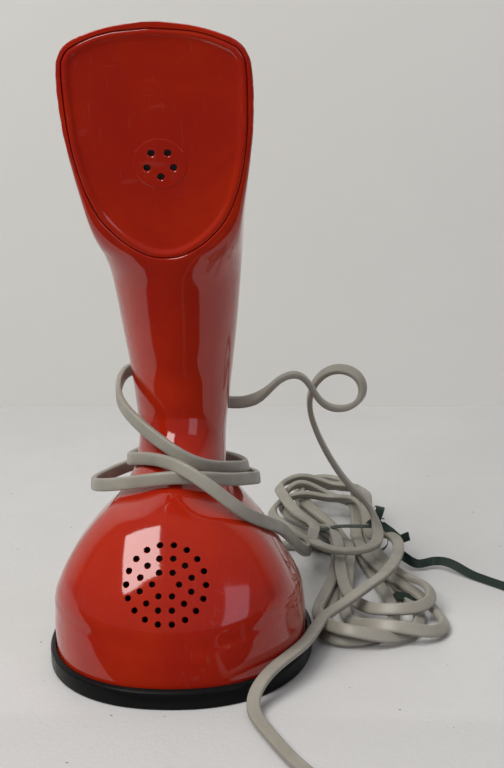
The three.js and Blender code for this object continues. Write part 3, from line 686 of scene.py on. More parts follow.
def blend_colours(tree, factor, first, second):
    """A Mix node between two colours, each a tuple or a (node, output) pair."""
    made = node(tree, "ShaderNodeMix", data_type="RGBA")
    link(tree, *factor, made, 0)
    for index, value in ((6, first), (7, second)):
        if isinstance(value[0], bpy.types.Node):
            link(tree, *value, made, index)
        else:
            made.inputs[index].default_value = (*value[:3], 1)
    return made, 2


def bump(tree, shader, height, distance):
    """A Bump node from a (node, output) height to the shader."""
    made = node(tree, "ShaderNodeBump", {"Strength": 1.0, "Distance": distance})
    link(tree, *height, made, "Height")
    link(tree, made, 0, shader, "Normal")


def shade(colour, factor):
    """A lighter or darker tone of a colour."""
    return tuple(min(1.0, c * factor) for c in colour)


def moulded_plastic(name, colour, cloud_colour, roughness, dust=0.12, scuff=0.35, grain=0.00003, **constants):
    """Moulded plastic with clouding, rub marks, a little dust and a faintly wavy skin."""
    material, tree, shader = start_material(name, **constants)
    skin = effect(tree, "moulded_grain", Grain_Scale=260.0, Cloud_Scale=26.0)
    marks = effect(tree, "scuffs", Scale=70.0, Amount=scuff)
    dusty = effect(tree, "settled_dust", Scale=900.0, Amount=dust)
    tone = blend_colours(tree, (skin, "Cloud"), colour, cloud_colour)
    rubbed = blend_colours(tree, (marks, "Mask"), tone, tuple(c * 0.8 + 0.1 for c in colour))
    dusted = blend_colours(tree, (dusty, "Mask"), rubbed, (0.5, 0.45, 0.4))
    link(tree, *dusted, shader, "Base Color")
    waves = spread(tree, (skin, "Cloud"), 0, 1, roughness * 0.8, roughness * 1.25)
    rougher = maths(tree, "MULTIPLY", (marks, "Mask"), 0.22)
    dry = maths(tree, "MULTIPLY", (dusty, "Mask"), 0.5)
    total = maths(tree, "ADD", waves, rougher)
    total = maths(tree, "ADD", total, dry, clamp=True)
    link(tree, *total, shader, "Roughness")
    bump(tree, shader, (skin, "Height"), grain)
    return material


def case_material():
    """Glossy red moulded plastic."""
    c = colours()
    return moulded_plastic(
        "glossy_red_case", tuple(c.case), tuple(c.case_shade), 0.075, dust=0.03, scuff=0.1, grain=0.000012,
        IOR=1.5, Coat_Weight=0.14, Coat_Roughness=0.03,
    )


def rubber_material():
    """Satin black rubber with faint scuffs and a trace of dust."""
    colour = tuple(colours().rubber)
    material, tree, shader = start_material("satin_black_rubber", IOR=1.45, Specular_IOR_Level=0.08)
    skin = effect(tree, "moulded_grain", Grain_Scale=2400.0, Cloud_Scale=60.0)
    dusty = effect(tree, "settled_dust", Scale=700.0, Amount=0.06)
    marks = effect(tree, "scuffs", Scale=90.0, Amount=0.4)
    tone = blend_colours(tree, (skin, "Cloud"), colour, shade(colour, 1.3))
    rubbed = blend_colours(tree, (marks, "Mask"), tone, (0.02, 0.02, 0.02))
    dusted = blend_colours(tree, (dusty, "Mask"), rubbed, (0.08, 0.08, 0.075))
    link(tree, *dusted, shader, "Base Color")
    rough = spread(tree, (skin, "Cloud"), 0, 1, 0.26, 0.38)
    link(tree, *rough, shader, "Roughness")
    bump(tree, shader, (skin, "Height"), 0.00004)
    return material


def metal_material(name, colour, roughness, brush_scale):
    """Turned or rolled metal with fine brush lines and dull patches."""
    material, tree, shader = start_material(name, Metallic=1.0)
    place = node(tree, "ShaderNodeTexCoord")
    mapping = node(tree, "ShaderNodeMapping", {"Scale": (1, 1, brush_scale)})
    lines = node(tree, "ShaderNodeTexNoise", {"Scale": 220.0, "Detail": 5.0})
    link(tree, place, "Object", mapping, "Vector")
    link(tree, mapping, 0, lines, "Vector")
    skin = effect(tree, "moulded_grain", Grain_Scale=1500.0, Cloud_Scale=90.0)
    tone = blend_colours(tree, (skin, "Cloud"), colour, shade(colour, 0.72))
    link(tree, *tone, shader, "Base Color")
    rough = spread(tree, (lines, 0), 0.3, 0.7, roughness * 0.75, roughness * 1.35)
    link(tree, *rough, shader, "Roughness")
    bump(tree, shader, (lines, 0), 0.00002)
    return material


def winding_material():
    """Fine lacquered wire, wound side by side, darker in the grooves between the turns and lighter on their
    crests: painted shading.
    """
    material, tree, shader = start_material("copper_winding", Metallic=0.8, Roughness=0.3)
    place = node(tree, "ShaderNodeTexCoord")
    turns = node(tree, "ShaderNodeTexWave", {"Scale": 1100.0, "Distortion": 0.3}, bands_direction="X")
    link(tree, place, "Object", turns, "Vector")
    # The two coppers follow the turns' bumps: painted shade in the grooves, painted highlight on the crests
    tone = blend_colours(tree, (turns, 1), (0.42, 0.13, 0.05), (0.62, 0.24, 0.1))
    link(tree, *tone, shader, "Base Color")
    bump(tree, shader, (turns, 1), 0.0001)
    return material


def board_material():
    """Brown resin paper laminate with its fibres."""
    material, tree, shader = start_material("laminate_board", Roughness=0.55)
    place = node(tree, "ShaderNodeTexCoord")
    mapping = node(tree, "ShaderNodeMapping", {"Scale": (1, 9, 1)})
    fibres = node(tree, "ShaderNodeTexNoise", {"Scale": 260.0, "Detail": 6.0, "Roughness": 0.7})
    link(tree, place, "Object", mapping, "Vector")
    link(tree, mapping, 0, fibres, "Vector")
    band = spread(tree, (fibres, 0), 0.35, 0.65)
    tone = blend_colours(tree, band, (0.2, 0.1, 0.035), (0.32, 0.18, 0.07))
    link(tree, *tone, shader, "Base Color")
    bump(tree, shader, (fibres, 0), 0.00003)
    return material


def cord_material():
    """Warm grey satin sheath, a little grubby, with faint rub marks."""
    colour = tuple(colours().cord)
    material, tree, shader = start_material("grey_cord_sheath", IOR=1.49, Sheen_Weight=0.08, Sheen_Roughness=0.5)
    skin = effect(tree, "moulded_grain", Grain_Scale=1300.0, Cloud_Scale=70.0)
    dusty = effect(tree, "settled_dust", Scale=1200.0, Amount=0.3)
    marks = effect(tree, "scuffs", Scale=150.0, Amount=0.3)
    tone = blend_colours(tree, (skin, "Cloud"), colour, shade(colour, 0.86))
    rubbed = blend_colours(tree, (marks, "Mask"), tone, shade(colour, 0.6))
    dusted = blend_colours(tree, (dusty, "Mask"), rubbed, (0.42, 0.4, 0.37))
    link(tree, *dusted, shader, "Base Color")
    rough = spread(tree, (skin, "Cloud"), 0, 1, 0.38, 0.5)
    link(tree, *rough, shader, "Roughness")
    bump(tree, shader, (skin, "Height"), 0.00003)
    return material


def ribbon_material():
    """Ribbed ribbon: ribs across its width from the mesh's own map, with a sheen. Its colour is painted shading of
    the ribs: darker in their hollows, lighter on their crests.
    """
    colour = tuple(colours().ribbon)
    material, tree, shader = start_material(
        "green_ribbed_ribbon", Roughness=0.42, Sheen_Weight=0.06, Sheen_Roughness=0.35, Specular_IOR_Level=0.35
    )
    place = node(tree, "ShaderNodeTexCoord")
    ribs = node(tree, "ShaderNodeTexWave", {"Scale": 0.32, "Distortion": 0.15}, bands_direction="Y")
    threads = node(tree, "ShaderNodeTexWave", {"Scale": 0.9, "Distortion": 0.2}, bands_direction="X")
    for wave in (ribs, threads):
        link(tree, place, "UV", wave, "Vector")
    woven = maths(tree, "MULTIPLY", (ribs, 1), maths(tree, "ADD", maths(tree, "MULTIPLY", (threads, 1), 0.3), 0.7))
    # Darker and lighter copies of the ribbon colour follow the ribs' bumps: painted shade in the hollows, painted
    # highlight on the crests
    tone = blend_colours(tree, woven, shade(colour, 0.6), shade(colour, 1.4))
    fuzz = effect(tree, "settled_dust", Scale=1500.0, Amount=0.25)
    dusted = blend_colours(tree, (fuzz, "Mask"), tone, (0.02, 0.045, 0.032))
    link(tree, *dusted, shader, "Base Color")
    bump(tree, shader, woven, 0.00015)
    return material


def clear_material():
    """Clear moulded plastic with faint flow lines."""
    material, tree, shader = start_material(
        "clear_plug_plastic", Metallic=0.0, Transmission_Weight=0.85, IOR=1.49, Coat_Weight=0.2
    )
    skin = effect(tree, "moulded_grain", Grain_Scale=700.0, Cloud_Scale=160.0)
    tone = blend_colours(tree, (skin, "Cloud"), (0.86, 0.87, 0.84), (0.76, 0.77, 0.72))
    link(tree, *tone, shader, "Base Color")
    rough = spread(tree, (skin, "Cloud"), 0, 1, 0.06, 0.16)
    link(tree, *rough, shader, "Roughness")
    bump(tree, shader, (skin, "Height"), 0.00003)
    return material


def make_finishes():
    """Every finish, by the record's slot."""
    c = colours()
    ivory = tuple(c.ivory)
    button = tuple(c.button)
    return {
        "case": case_material(),
        "base_rubber": rubber_material(),
        "black_plastic": moulded_plastic(
            "black_moulded_plastic", (0.014, 0.014, 0.015), (0.02, 0.02, 0.021), 0.34, dust=0.15, scuff=0.4
        ),
        "ivory_plastic": moulded_plastic(
            "aged_ivory_plastic", ivory, shade(ivory, 0.86), 0.24, dust=0.0, scuff=0.3, Coat_Weight=0.1
        ),
        "button_plastic": moulded_plastic(
            "red_button_plastic", button, shade(button, 0.8), 0.2, dust=0.0, scuff=0.5
        ),
        "steel": metal_material("plated_steel", (0.56, 0.56, 0.55), 0.34, 0.2),
        "brass": metal_material("machined_brass", (0.62, 0.44, 0.19), 0.3, 6.0),
        "copper_winding": winding_material(),
        "board": board_material(),
        "cord_sheath": cord_material(),
        "ribbon": ribbon_material(),
        "clear_plastic": clear_material(),
    }


FINISHES = {}


def finish_for(slot):
    """The finish of a slot, made when the first piece needs one."""
    if not FINISHES:
        FINISHES.update(make_finishes())
    return FINISHES[slot]


# Stage
def camera():
    """The camera, a little above the head and looking down at the object."""
    ahead = Vector((
        -math.cos(CAMERA_DOWN) * math.sin(CAMERA_TURN),
        math.cos(CAMERA_DOWN) * math.cos(CAMERA_TURN),
        -math.sin(CAMERA_DOWN),
    ))
    level = Vector((math.cos(CAMERA_TURN), math.sin(CAMERA_TURN), 0))
    up = level.cross(ahead)
    right = level * math.cos(CAMERA_ROLL) + up * math.sin(CAMERA_ROLL)
    up = up * math.cos(CAMERA_ROLL) - level * math.sin(CAMERA_ROLL)
    data = bpy.data.cameras.new("stage_camera")
    data.lens = CAMERA_LENS
    data.sensor_width = 36
    data.clip_start = 0.01
    made = bpy.data.objects.new("stage_camera", data)
    bpy.context.collection.objects.link(made)
    turn = Matrix((right, up, -ahead)).transposed().to_4x4()
    made.matrix_world = Matrix.Translation(CAMERA_PLACE * MM) @ turn
    bpy.context.scene.camera = made


def area_light(name, place, target, width, height, power, colour=(1, 1, 1), up=(0, 0, 1)):
    """A rectangular lamp that faces its target, with its height along the up direction."""
    data = bpy.data.lights.new(name, "AREA")
    data.shape = "RECTANGLE"
    data.size = width * MM
    data.size_y = height * MM
    data.energy = power
    data.color = colour
    made = bpy.data.objects.new(name, data)
    bpy.context.collection.objects.link(made)
    behind = (Vector(place) - Vector(target)).normalized()
    across = Vector(up).cross(behind).normalized()
    turn = Matrix((across, behind.cross(across), behind)).transposed().to_4x4()
    made.matrix_world = Matrix.Translation(Vector(place) * MM) @ turn
    return made


def table_material():
    """Pale table top with sparse dark flecks and a low uneven sheen."""
    colour = tuple(colours().table)
    material, tree, shader = start_material("pale_table_top", IOR=1.45)
    skin = effect(tree, "moulded_grain", Grain_Scale=500.0, Cloud_Scale=9.0)
    place = node(tree, "ShaderNodeTexCoord")
    cells = node(tree, "ShaderNodeTexVoronoi", {"Scale": 110.0, "Randomness": 1.0})
    link(tree, place, "Object", cells, "Vector")
    fleck = spread(tree, (cells, 0), 0.07, 0.03)
    chance = node(tree, "ShaderNodeSeparateXYZ")
    link(tree, cells, 1, chance, 0)
    some = spread(tree, (chance, "X"), 0.72, 0.8)
    flecks = maths(tree, "MULTIPLY", fleck, some)
    tone = blend_colours(tree, (skin, "Cloud"), colour, shade(colour, 0.955))
    flecked = blend_colours(tree, flecks, tone, (0.16, 0.155, 0.15))
    link(tree, *flecked, shader, "Base Color")
    rough = spread(tree, (skin, "Cloud"), 0, 1, 0.42, 0.55)
    link(tree, *rough, shader, "Roughness")
    bump(tree, shader, (skin, "Height"), 0.0002)
    return material


def wall_material():
    """Pale wall, clear from behind so that it never hides the object."""
    colour = tuple(colours().wall)
    material, tree, shader = start_material("pale_wall", Roughness=0.6)
    skin = effect(tree, "moulded_grain", Grain_Scale=120.0, Cloud_Scale=4.0)
    tone = blend_colours(tree, (skin, "Cloud"), colour, shade(colour, 0.97))
    link(tree, *tone, shader, "Base Color")
    bump(tree, shader, (skin, "Height"), 0.0001)
    clear_from_behind(tree, shader)
    return material


def clear_from_behind(tree, shader):
    """Lets a stage surface show from its front only."""
    side = node(tree, "ShaderNodeNewGeometry")
    clear = node(tree, "ShaderNodeBsdfTransparent")
    choice = node(tree, "ShaderNodeMixShader")
    link(tree, side, "Backfacing", choice, 0)
    link(tree, shader, 0, choice, 1)
    link(tree, clear, 0, choice, 2)
    link(tree, choice, 0, tree.nodes["Material Output"], "Surface")


def stage_plane(name, corners, material):
    """A flat piece of the stage through four corners."""
    mesh = bpy.data.meshes.new(name)
    mesh.from_pydata([Vector(c) * MM for c in corners], [], [(0, 1, 2, 3)])
    mesh.materials.append(material)
    made = bpy.data.objects.new(name, mesh)
    bpy.context.collection.objects.link(made)
    return made


def reflected_shade_card():
    """A dark card that lies in front of the object and shows only in gloss: painted shade in the reflections of
    the face and dome, standing in for the shade in front of the object. It fades out at its sides and far end.
    """
    material, tree, shader = start_material("reflected_shade_card", Roughness=0.9)
    skin = effect(tree, "moulded_grain", Grain_Scale=50.0, Cloud_Scale=3.0)
    # Near-black card colour: painted shade, seen only in reflections
    tone = blend_colours(tree, (skin, "Cloud"), (0.01, 0.01, 0.01), (0.02, 0.02, 0.02))
    link(tree, *tone, shader, "Base Color")
    place = node(tree, "ShaderNodeTexCoord")
    parts = node(tree, "ShaderNodeSeparateXYZ")
    link(tree, place, "Generated", parts, 0)
    middle = maths(tree, "MULTIPLY", (parts, "X"), maths(tree, "SUBTRACT", 1.0, (parts, "X")))
    solid_part = maths(tree, "MULTIPLY", spread(tree, middle, 0.0, 0.16), spread(tree, (parts, "Y"), 0.0, 0.35))
    clear = node(tree, "ShaderNodeBsdfTransparent")
    choice = node(tree, "ShaderNodeMixShader")
    link(tree, *solid_part, choice, 0)
    link(tree, clear, 0, choice, 1)
    link(tree, shader, 0, choice, 2)
    link(tree, choice, 0, tree.nodes["Material Output"], "Surface")
    half, near, far, high = CARD_HALF_WIDTH, CARD_NEAR, CARD_FAR, CARD_HEIGHT
    corners = [(-half, far, high), (half, far, high), (half, near, high), (-half, near, high)]
    card = stage_plane("reflected_shade_card", corners, material)
    card.visible_camera = False
    card.visible_diffuse = False
    card.visible_shadow = False
    card.visible_transmission = False


def room():
    """Table top, wall, soft lamps, a dark card that paints shade into the gloss and a dim even surround."""
    far = ROOM_REACH
    deep, high = WALL_PLACE, WALL_HEIGHT
    stage_plane("table_top", [(-far, -far, 0), (far, -far, 0), (far, far, 0), (-far, far, 0)], table_material())
    wall = [(-far, deep, 0), (far, deep, 0), (far, deep, high), (-far, deep, high)]
    stage_plane("back_wall", wall, wall_material())
    ceiling = area_light("ceiling_light", (-200, -500, 1900), OBJECT_MIDDLE, 1800, 1300, 15, (1, 0.985, 0.96))
    ceiling.visible_glossy = False
    area_light(
        "window_light", (-590, -700, 1120), DOME_LEFT, 640, 900, 16, (1, 0.975, 0.95), up=(-0.07, 0.87, 0.48)
    )
    area_light("side_light", (1020, -860, 370), DOME_RIGHT, 620, 950, 2.4, (0.88, 0.8, 1), up=(0.35, 0, 1))
    reflected_shade_card()
    world = bpy.data.worlds.new("soft_surround")
    world.use_nodes = True
    surround = world.node_tree.nodes["Background"]
    surround.inputs["Color"].default_value = (0.94, 0.96, 1, 1)
    surround.inputs["Strength"].default_value = 0.19
    bpy.context.scene.world = world
    bpy.context.scene.view_settings.view_transform = "Standard"


# Cord
def lobe(shape, front_side):
    """Points of one lobe of the hank, from its place at the tie out to its tip and back."""
    reach, half, lean, start, end, rise = shape
    swell = half / LOBE_SWELL
    found = []
    for i in range(LOBE_POINTS + 1):
        angle = math.pi * i / LOBE_POINTS
        c, s = math.cos(angle), math.sin(angle)
        across = start * (1 + c) / 2 + end * (1 - c) / 2
        side = -1 if start < end else 1
        across += side * swell * c * s * s + lean * s * s
        along = reach * s * (-1 if front_side else 1)
        found.append(TIE + HANK_ALONG * along + HANK_ACROSS * across + Vector((0, 0, rise * s * s)))
    return found


def laid_down(flat, heights, half_heights, fixed, spacing):
    """Heights that lay each point on whatever came before it, and leave the fixed ones alone."""
    height = np.array(heights, dtype=float)
    apart = int(OVERLAP_APART / spacing)
    for i in range(len(flat)):
        if fixed[i]:
            continue
        last = max(0, i - apart)
        near = np.linalg.norm(flat[:last] - flat[i], axis=1) < OVERLAP_REACH
        near &= height[:last] < HANK_LIMIT
        if near.any():
            tops = height[:last][near] + half_heights[:last][near]
            height[i] = max(height[i], tops.max() + REST_SHARE * half_heights[i])
    return height


def outward_bend(line, spacing):
    """How strongly the line bends in plan, from 0 to 1, and the level direction away from its bend."""
    ahead = np.gradient(line[:, :2], axis=0)
    ahead /= np.maximum(np.linalg.norm(ahead, axis=1), 1e-6)[:, None]
    bend = softened(np.gradient(ahead, axis=0) / spacing, 4)
    amount = np.linalg.norm(bend, axis=1)
    away = -bend / np.maximum(amount, 1e-6)[:, None]
    return np.clip(amount * FULL_TILT_RADIUS, 0, 1), away


def softened(values, sigma):
    """Values smoothed along the line, with its ends held."""
    reach = int(3 * sigma) + 1
    weights = np.exp(-0.5 * (np.arange(-reach, reach + 1) / sigma) ** 2)
    weights /= weights.sum()
    padded = np.concatenate([np.repeat(values[:1], reach, axis=0), values, np.repeat(values[-1:], reach, axis=0)])
    if values.ndim == 1:
        return np.convolve(padded, weights, "valid")
    return np.stack([np.convolve(padded[:, k], weights, "valid") for k in range(values.shape[1])], axis=1)


def cord_route(step=1.6):
    """The whole cord's centreline, the kind of each of its points and their spacing."""
    stretches = [(smooth_curve(BASE_RUN, step), "given")]
    hank = smooth_curve([BASE_RUN[-1], *INTO_HANK, lobe(FRONT_LOBES[0], True)[4]], step)
    hank = [Vector((p.x, p.y, 0)) for p in hank[1:-1]]
    for k, shape in enumerate(FRONT_LOBES):
        points = lobe(shape, True)
        hank.extend(points[4:] if k == 0 else points[1:])
        rear = lobe(REAR_LOBES[k], False)
        hank.extend(rear[1:-3] if k == len(REAR_LOBES) - 1 else rear[1:])
    stretches.append((hank, "laid"))
    stretches.append((smooth_curve([*OUT_OF_HANK, NECK_RUN[0]], step)[:-1], "given"))
    stretches.append((smooth_curve(NECK_RUN, step), "wrapped"))
    last = lobe(LAST_REAR_LOBE, False)
    stretches.append((last[3:-1], "laid"))
    stretches.append((smooth_curve([*ACROSS_HANK, *FRONT_RUN], step), "given"))
    points, kinds = [], []
    for stretch, kind in stretches:
        points.extend(Vector(p) for p in stretch)
        kinds.extend([kind] * len(stretch))
    line = np.array([tuple(p) for p in points])
    level = np.linalg.norm(np.diff(line[:, :2], axis=0), axis=1)
    climbs = np.array([a != "laid" and b != "laid" for a, b in zip(kinds, kinds[1:])])
    reach = np.concatenate([[0], np.cumsum(level + np.abs(np.diff(line[:, 2])) * climbs)])
    count = int(reach[-1] / step)
    places = np.linspace(0, reach[-1], count + 1)
    even = np.stack([np.interp(places, reach, line[:, k]) for k in range(3)], axis=1)
    codes = {"given": 0, "wrapped": 1, "laid": 2}
    marks = np.array([codes[k] for k in kinds])
    mark = marks[np.clip(np.searchsorted(reach, places), 0, len(marks) - 1)]
    laid = mark == 2
    wide, thin = sizes().cord_width / MM / 2, sizes().cord_thickness / MM / 2
    bent, _ = outward_bend(even, step)
    tilt = softened(bent, 5) * CORD_TILT
    half_heights = wide * np.sin(tilt) + thin * np.cos(tilt)
    start = np.where(laid, half_heights + CORD_CLEARANCE + even[:, 2], even[:, 2])
    heights = laid_down(even[:, :2], start, half_heights, ~laid, step)
    for _ in range(3):
        heights = np.maximum(softened(heights, 3.5), np.where(laid, heights, 0))
        heights[~laid] = even[~laid, 2]
    even[:, 2] = heights
    smoothed = softened(even, 2.2)
    blend = softened(laid.astype(float), 4)[:, None]
    even = even * (1 - blend) + smoothed * blend
    even = softened(even, 2.6)
    return even, mark, step


def cord_frames(line, mark, step):
    """For each point of the cord, the direction of its flat face."""
    ahead = np.gradient(line, axis=0)
    ahead /= np.linalg.norm(ahead, axis=1)[:, None]
    target = np.zeros_like(line)
    bent, away = outward_bend(line, step)
    for i, (x, y, z) in enumerate(line):
        if mark[i] == 1:
            middle = (front(z) + back(z)) / 2
            out = np.array((x, y - middle, 0.0))
            if y > 46 and x > 28 or x > 34:
                edge = np.cross(ahead[i], (0.12, 1, 0.25))
                out = edge / max(np.linalg.norm(edge), 1e-6) + np.array((0.0, -0.25, 0.1))
            target[i] = out / np.linalg.norm(out)
        elif mark[i] == 2:
            angle = bent[i] * CORD_TILT
            target[i] = (*away[i] * math.sin(angle), math.cos(angle))
        else:
            target[i] = (0, 0, 1)
    for i in range(1, len(target)):
        if np.dot(target[i], target[i - 1]) < -0.2:
            target[i] *= -1
    target = softened(target, 5)
    flat = target - ahead * np.sum(target * ahead, axis=1)[:, None]
    flat /= np.maximum(np.linalg.norm(flat, axis=1), 1e-6)[:, None]
    flat = softened(flat, 3)
    flat -= ahead * np.sum(flat * ahead, axis=1)[:, None]
    flat /= np.maximum(np.linalg.norm(flat, axis=1), 1e-6)[:, None]
    for i in range(1, len(flat)):
        if np.dot(flat[i], flat[i - 1]) < 0:
            flat[i] *= -1
    return ahead, flat


def band_mesh(line, ahead, flat, width, thickness, power=4.5, count=20):
    """Points and faces of a flat band with rounded edges along a line."""
    rows = []
    for place, along, up in zip(line, ahead, flat):
        side = np.cross(along, up)
        ring = []
        for i in range(count):
            angle = 2 * math.pi * (i + 0.5) / count
            u = width / 2 * signed_power(math.cos(angle), 2 / power)
            v = thickness / 2 * signed_power(math.sin(angle), 2 / power)
            ring.append(Vector(place + side * u + up * v))
        rows.append(ring)
    return lofted(rows)


def free_cord():
    """The flat cord, from the strain relief to the plug."""
    line, mark, step = cord_route()
    ahead, flat = cord_frames(line, mark, step)
    width = sizes().cord_width / MM
    thickness = sizes().cord_thickness / MM
    verts, faces = band_mesh(line, ahead, flat, width, thickness)
    piece = new_piece("flat_cord", verts, faces, "case", finish_for("cord_sheath"), "cord_sheath", 50)
    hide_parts("cord_base_run", "cord_neck_run", "cord_front_run", "cord_hank")
    length = float(np.linalg.norm(np.diff(line, axis=0), axis=1).sum()) * MM
    return piece, [tuple(p) for p in line * MM], length


def strain_relief():
    """A tapered rubber sleeve with grooves round it, where the cord leaves the case."""
    outline = [(0, RELIEF_START), (3.8, RELIEF_START), (3.8, 52.5), (4.6, 52.6), (4.6, 53.6), (3.8, 54)]
    for i in range(6):
        start = 55 + i * 3
        outer = 3.8 - 1.3 * (start - 55) / (RELIEF_END - 55)
        outline += [(outer, start), (outer - 0.05, start + 1.7)]
        outline += [(outer - 0.75, start + 2), (outer - 0.75, start + 2.7)]
    outline += [(2.75, 73.4), (2.6, 75.4), (2.3, RELIEF_END), (0, RELIEF_END)]
    verts, faces = turned(outline, 40)
    verts = [(x * 1.12, z, y + EXIT_HEIGHT) for x, y, z in verts]
    piece = new_piece("strain_relief", verts, faces, "case", finish_for("base_rubber"), "base_rubber", 40)
    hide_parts("cord_strain_relief")
    return piece


def block(low, high):
    """Points and faces of a box."""
    corners = [(x, y, z) for x in (low[0], high[0]) for y in (low[1], high[1]) for z in (low[2], high[2])]
    faces = [(0, 1, 3, 2), (4, 6, 7, 5), (0, 4, 5, 1), (2, 3, 7, 6), (0, 2, 6, 4), (1, 5, 7, 3)]
    return corners, faces


def rounded(piece, width, segments=3):
    """Rounds a piece's edges with an applied bevel."""
    step = piece.modifiers.new("rounded_edges", "BEVEL")
    step.width = width * MM
    step.segments = segments
    step.limit_method = "ANGLE"
    step.angle_limit = math.radians(30)
    step.harden_normals = False


def cord_plug():
    """A small clear modular plug with brass blades, and its sprung latch."""
    x, y, z = PLUG["x"], PLUG["y"], PLUG["z"]
    length, width, height = PLUG["length"], PLUG["width"], PLUG["height"]
    half = width / 2
    low, high = z - height / 2, z + height / 2
    body = block((x, y - half, low), (x + length, y + half, high))
    mesh = bpy.data.meshes.new("modular_plug_body")
    mesh.from_pydata([Vector(v) * MM for v in body[0]], [], body[1])
    mesh = cut(mesh, *block((x + length - 1.2, y - 6, high - 0.9), (x + length + 2, y + 6, high + 1)))
    slots = [block((x + 7.2, y + k - 0.28, high - 2.2), (x + length + 1, y + k + 0.28, high + 1))
             for k in (-1.9, -0.65, 0.65, 1.9)]
    mesh = cut(mesh, *joined(slots))
    mesh = cut(mesh, *block((x - 1, y - 2.6, z - 1.3), (x + 3.5, y + 2.6, z + 1.3)))
    body = finish_piece("modular_plug_body", mesh, "case", finish_for("clear_plastic"))
    rounded(body, 0.3)
    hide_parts("modular_plug")
    blades = joined([block((x + 7.4, y + k - 0.16, high - 2.1), (x + length - 1.4, y + k + 0.16, high - 0.35))
                     for k in (-1.9, -0.65, 0.65, 1.9)])
    blade_piece = new_piece("plug_blades", *blades, "case", finish_for("brass"), "brass")
    rows = []
    for i in range(13):
        t = i / 12
        px = x + 2 + length * t * 0.97
        pz = high + 0.35 + 0.75 * math.sin(math.pi * min(1, t * 1.15) * 0.5) * (1 - 0.25 * t)
        half_latch = 1.6 if 0.3 < t < 0.95 else 1.25
        rows.append([(px, y - half_latch, pz - 0.3), (px, y + half_latch, pz - 0.3),
                     (px, y + half_latch, pz + 0.3), (px, y - half_latch, pz + 0.3)])
    latch = new_piece("plug_spring_latch", *lofted(rows), "case", finish_for("clear_plastic"), "clear_plastic")
    rounded(latch, 0.12, 2)
    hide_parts("plug_latch")
    return [body, blade_piece, latch]


# Ribbon
def map_band(piece, rows, count, length, width):
    """Gives a band a map in millimetres: along its length and across its width."""
    layer = piece.data.uv_layers.new(name="weave")
    for polygon in piece.data.polygons:
        for corner in polygon.loop_indices:
            index = piece.data.loops[corner].vertex_index
            row, place = divmod(index, count)
            layer.data[corner].uv = (width * place / count, length * row / max(1, rows - 1))


def ribbon_strip(name, points, faces_to, width, thickness=0.28, closed=False):
    """A flat strip of ribbon along a line, with its face turned to the given directions."""
    line = np.array([tuple(p) for p in points])
    ahead = np.gradient(line, axis=0)
    if closed:
        ahead[0] = ahead[-1] = line[1] - line[-2]
    ahead /= np.linalg.norm(ahead, axis=1)[:, None]
    flat = np.array([tuple(f) for f in faces_to], dtype=float)
    flat -= ahead * np.sum(flat * ahead, axis=1)[:, None]
    flat /= np.linalg.norm(flat, axis=1)[:, None]
    count = 12
    verts, faces = band_mesh(line, ahead, flat, width, thickness, power=6, count=count)
    if closed:
        verts = verts[:-count]
        faces = grid_faces(len(line) - 1, count, wrap_columns=True, wrap_rows=True)
    piece = new_piece(name, verts, faces, "case", finish_for("ribbon"), "ribbon", 60)
    length = float(np.linalg.norm(np.diff(line, axis=0), axis=1).sum())
    map_band(piece, len(line), count, length, width)
    return piece


def hank_ribbon():
    """The ribbon: a wrap round the hank, a knot with short ends, and one long tail on the table."""
    width = sizes().ribbon_width / MM
    turn = Matrix.Rotation(-0.12, 3, "Z")
    points, faces_to = [], []
    count = 72
    for i in range(count + 1):
        angle = 2 * math.pi * i / count
        c, s = math.cos(angle), math.sin(angle)
        u = TIE_HALF_WIDTH * signed_power(c, 0.62)
        tall = TIE_HEIGHT * (0.91 + 0.09 * c)
        z = tall / 2 + 0.5 + tall / 2 * signed_power(s, 0.75)
        sway = 0.7 * math.sin(2 * angle + 0.5)
        points.append(TIE + turn @ Vector((u, sway, 0)) + Vector((0, 0, z)))
        faces_to.append(turn @ Vector((c / TIE_HALF_WIDTH * 8, 0, s)))
    wrap = ribbon_strip("ribbon_wrap", points, faces_to, width, 0.32, closed=True)
    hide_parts("hank_tie")
    knot_line = [Vector(p) for p in ((69, 99, 13.6), (72, 100.5, 15.2), (74.6, 99, 14.6), (74.2, 96.4, 13.2),
                                     (71.6, 96, 13.4), (70.4, 98.4, 14.6), (73, 99.8, 16), (76.5, 99, 15.6))]
    line = smooth_curve(knot_line, 0.6)
    knot = ribbon_strip("ribbon_knot", line, [(0.2, 0.4, 1)] * len(line), width * 0.62, 0.5)
    ends = []
    for name, route, face in (
        ("back", ((73, 99.5, 14.6), (74.5, 103, 17.5), (75, 107, 18.2), (74, 111, 16.6)), (0.3, -0.7, 0.8)),
        ("right", ((75, 98, 13.6), (79, 93, 12.4), (83, 89, 10.5), (87, 86.5, 12.5)), (0.3, -0.8, 0.5)),
        ("low", ((80, 48, 1.8), (84, 43, 3.2), (88, 39.5, 3.4), (92, 37, 1.9)), (0.1, -0.7, 0.8)),
    ):
        line = smooth_curve(route, 0.8)
        ends.append(ribbon_strip(f"ribbon_end_{name}", line, [face] * len(line), width))
    heights = profile([(0, 5.4), (0.16, 1.6), (0.34, 2.6), (0.55, 0.6), (0.8, 0.5), (1, 0.5)])
    flat_line = smooth_curve([(x, y, 0) for x, y in TAIL], 1.0)
    lift = [Vector((p.x, p.y, heights(i / (len(flat_line) - 1)))) for i, p in enumerate(flat_line)]
    faces_to = []
    for i in range(len(lift)):
        t = i / (len(lift) - 1)
        roll = 1.25 - 0.5 * smooth(0.1, 0.9, t) + 0.2 * math.sin(8 * t)
        faces_to.append((-0.35 * roll, -0.94 * roll, 1))
    raised = [p + Vector((0, 0, width / 2 * abs(math.sin(math.atan(f[1]))) * 0.9)) for p, f in zip(lift, faces_to)]
    tail = ribbon_strip("ribbon_long_tail", raised, faces_to, width)
    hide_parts("ribbon_tail")
    return [wrap, knot, *ends]


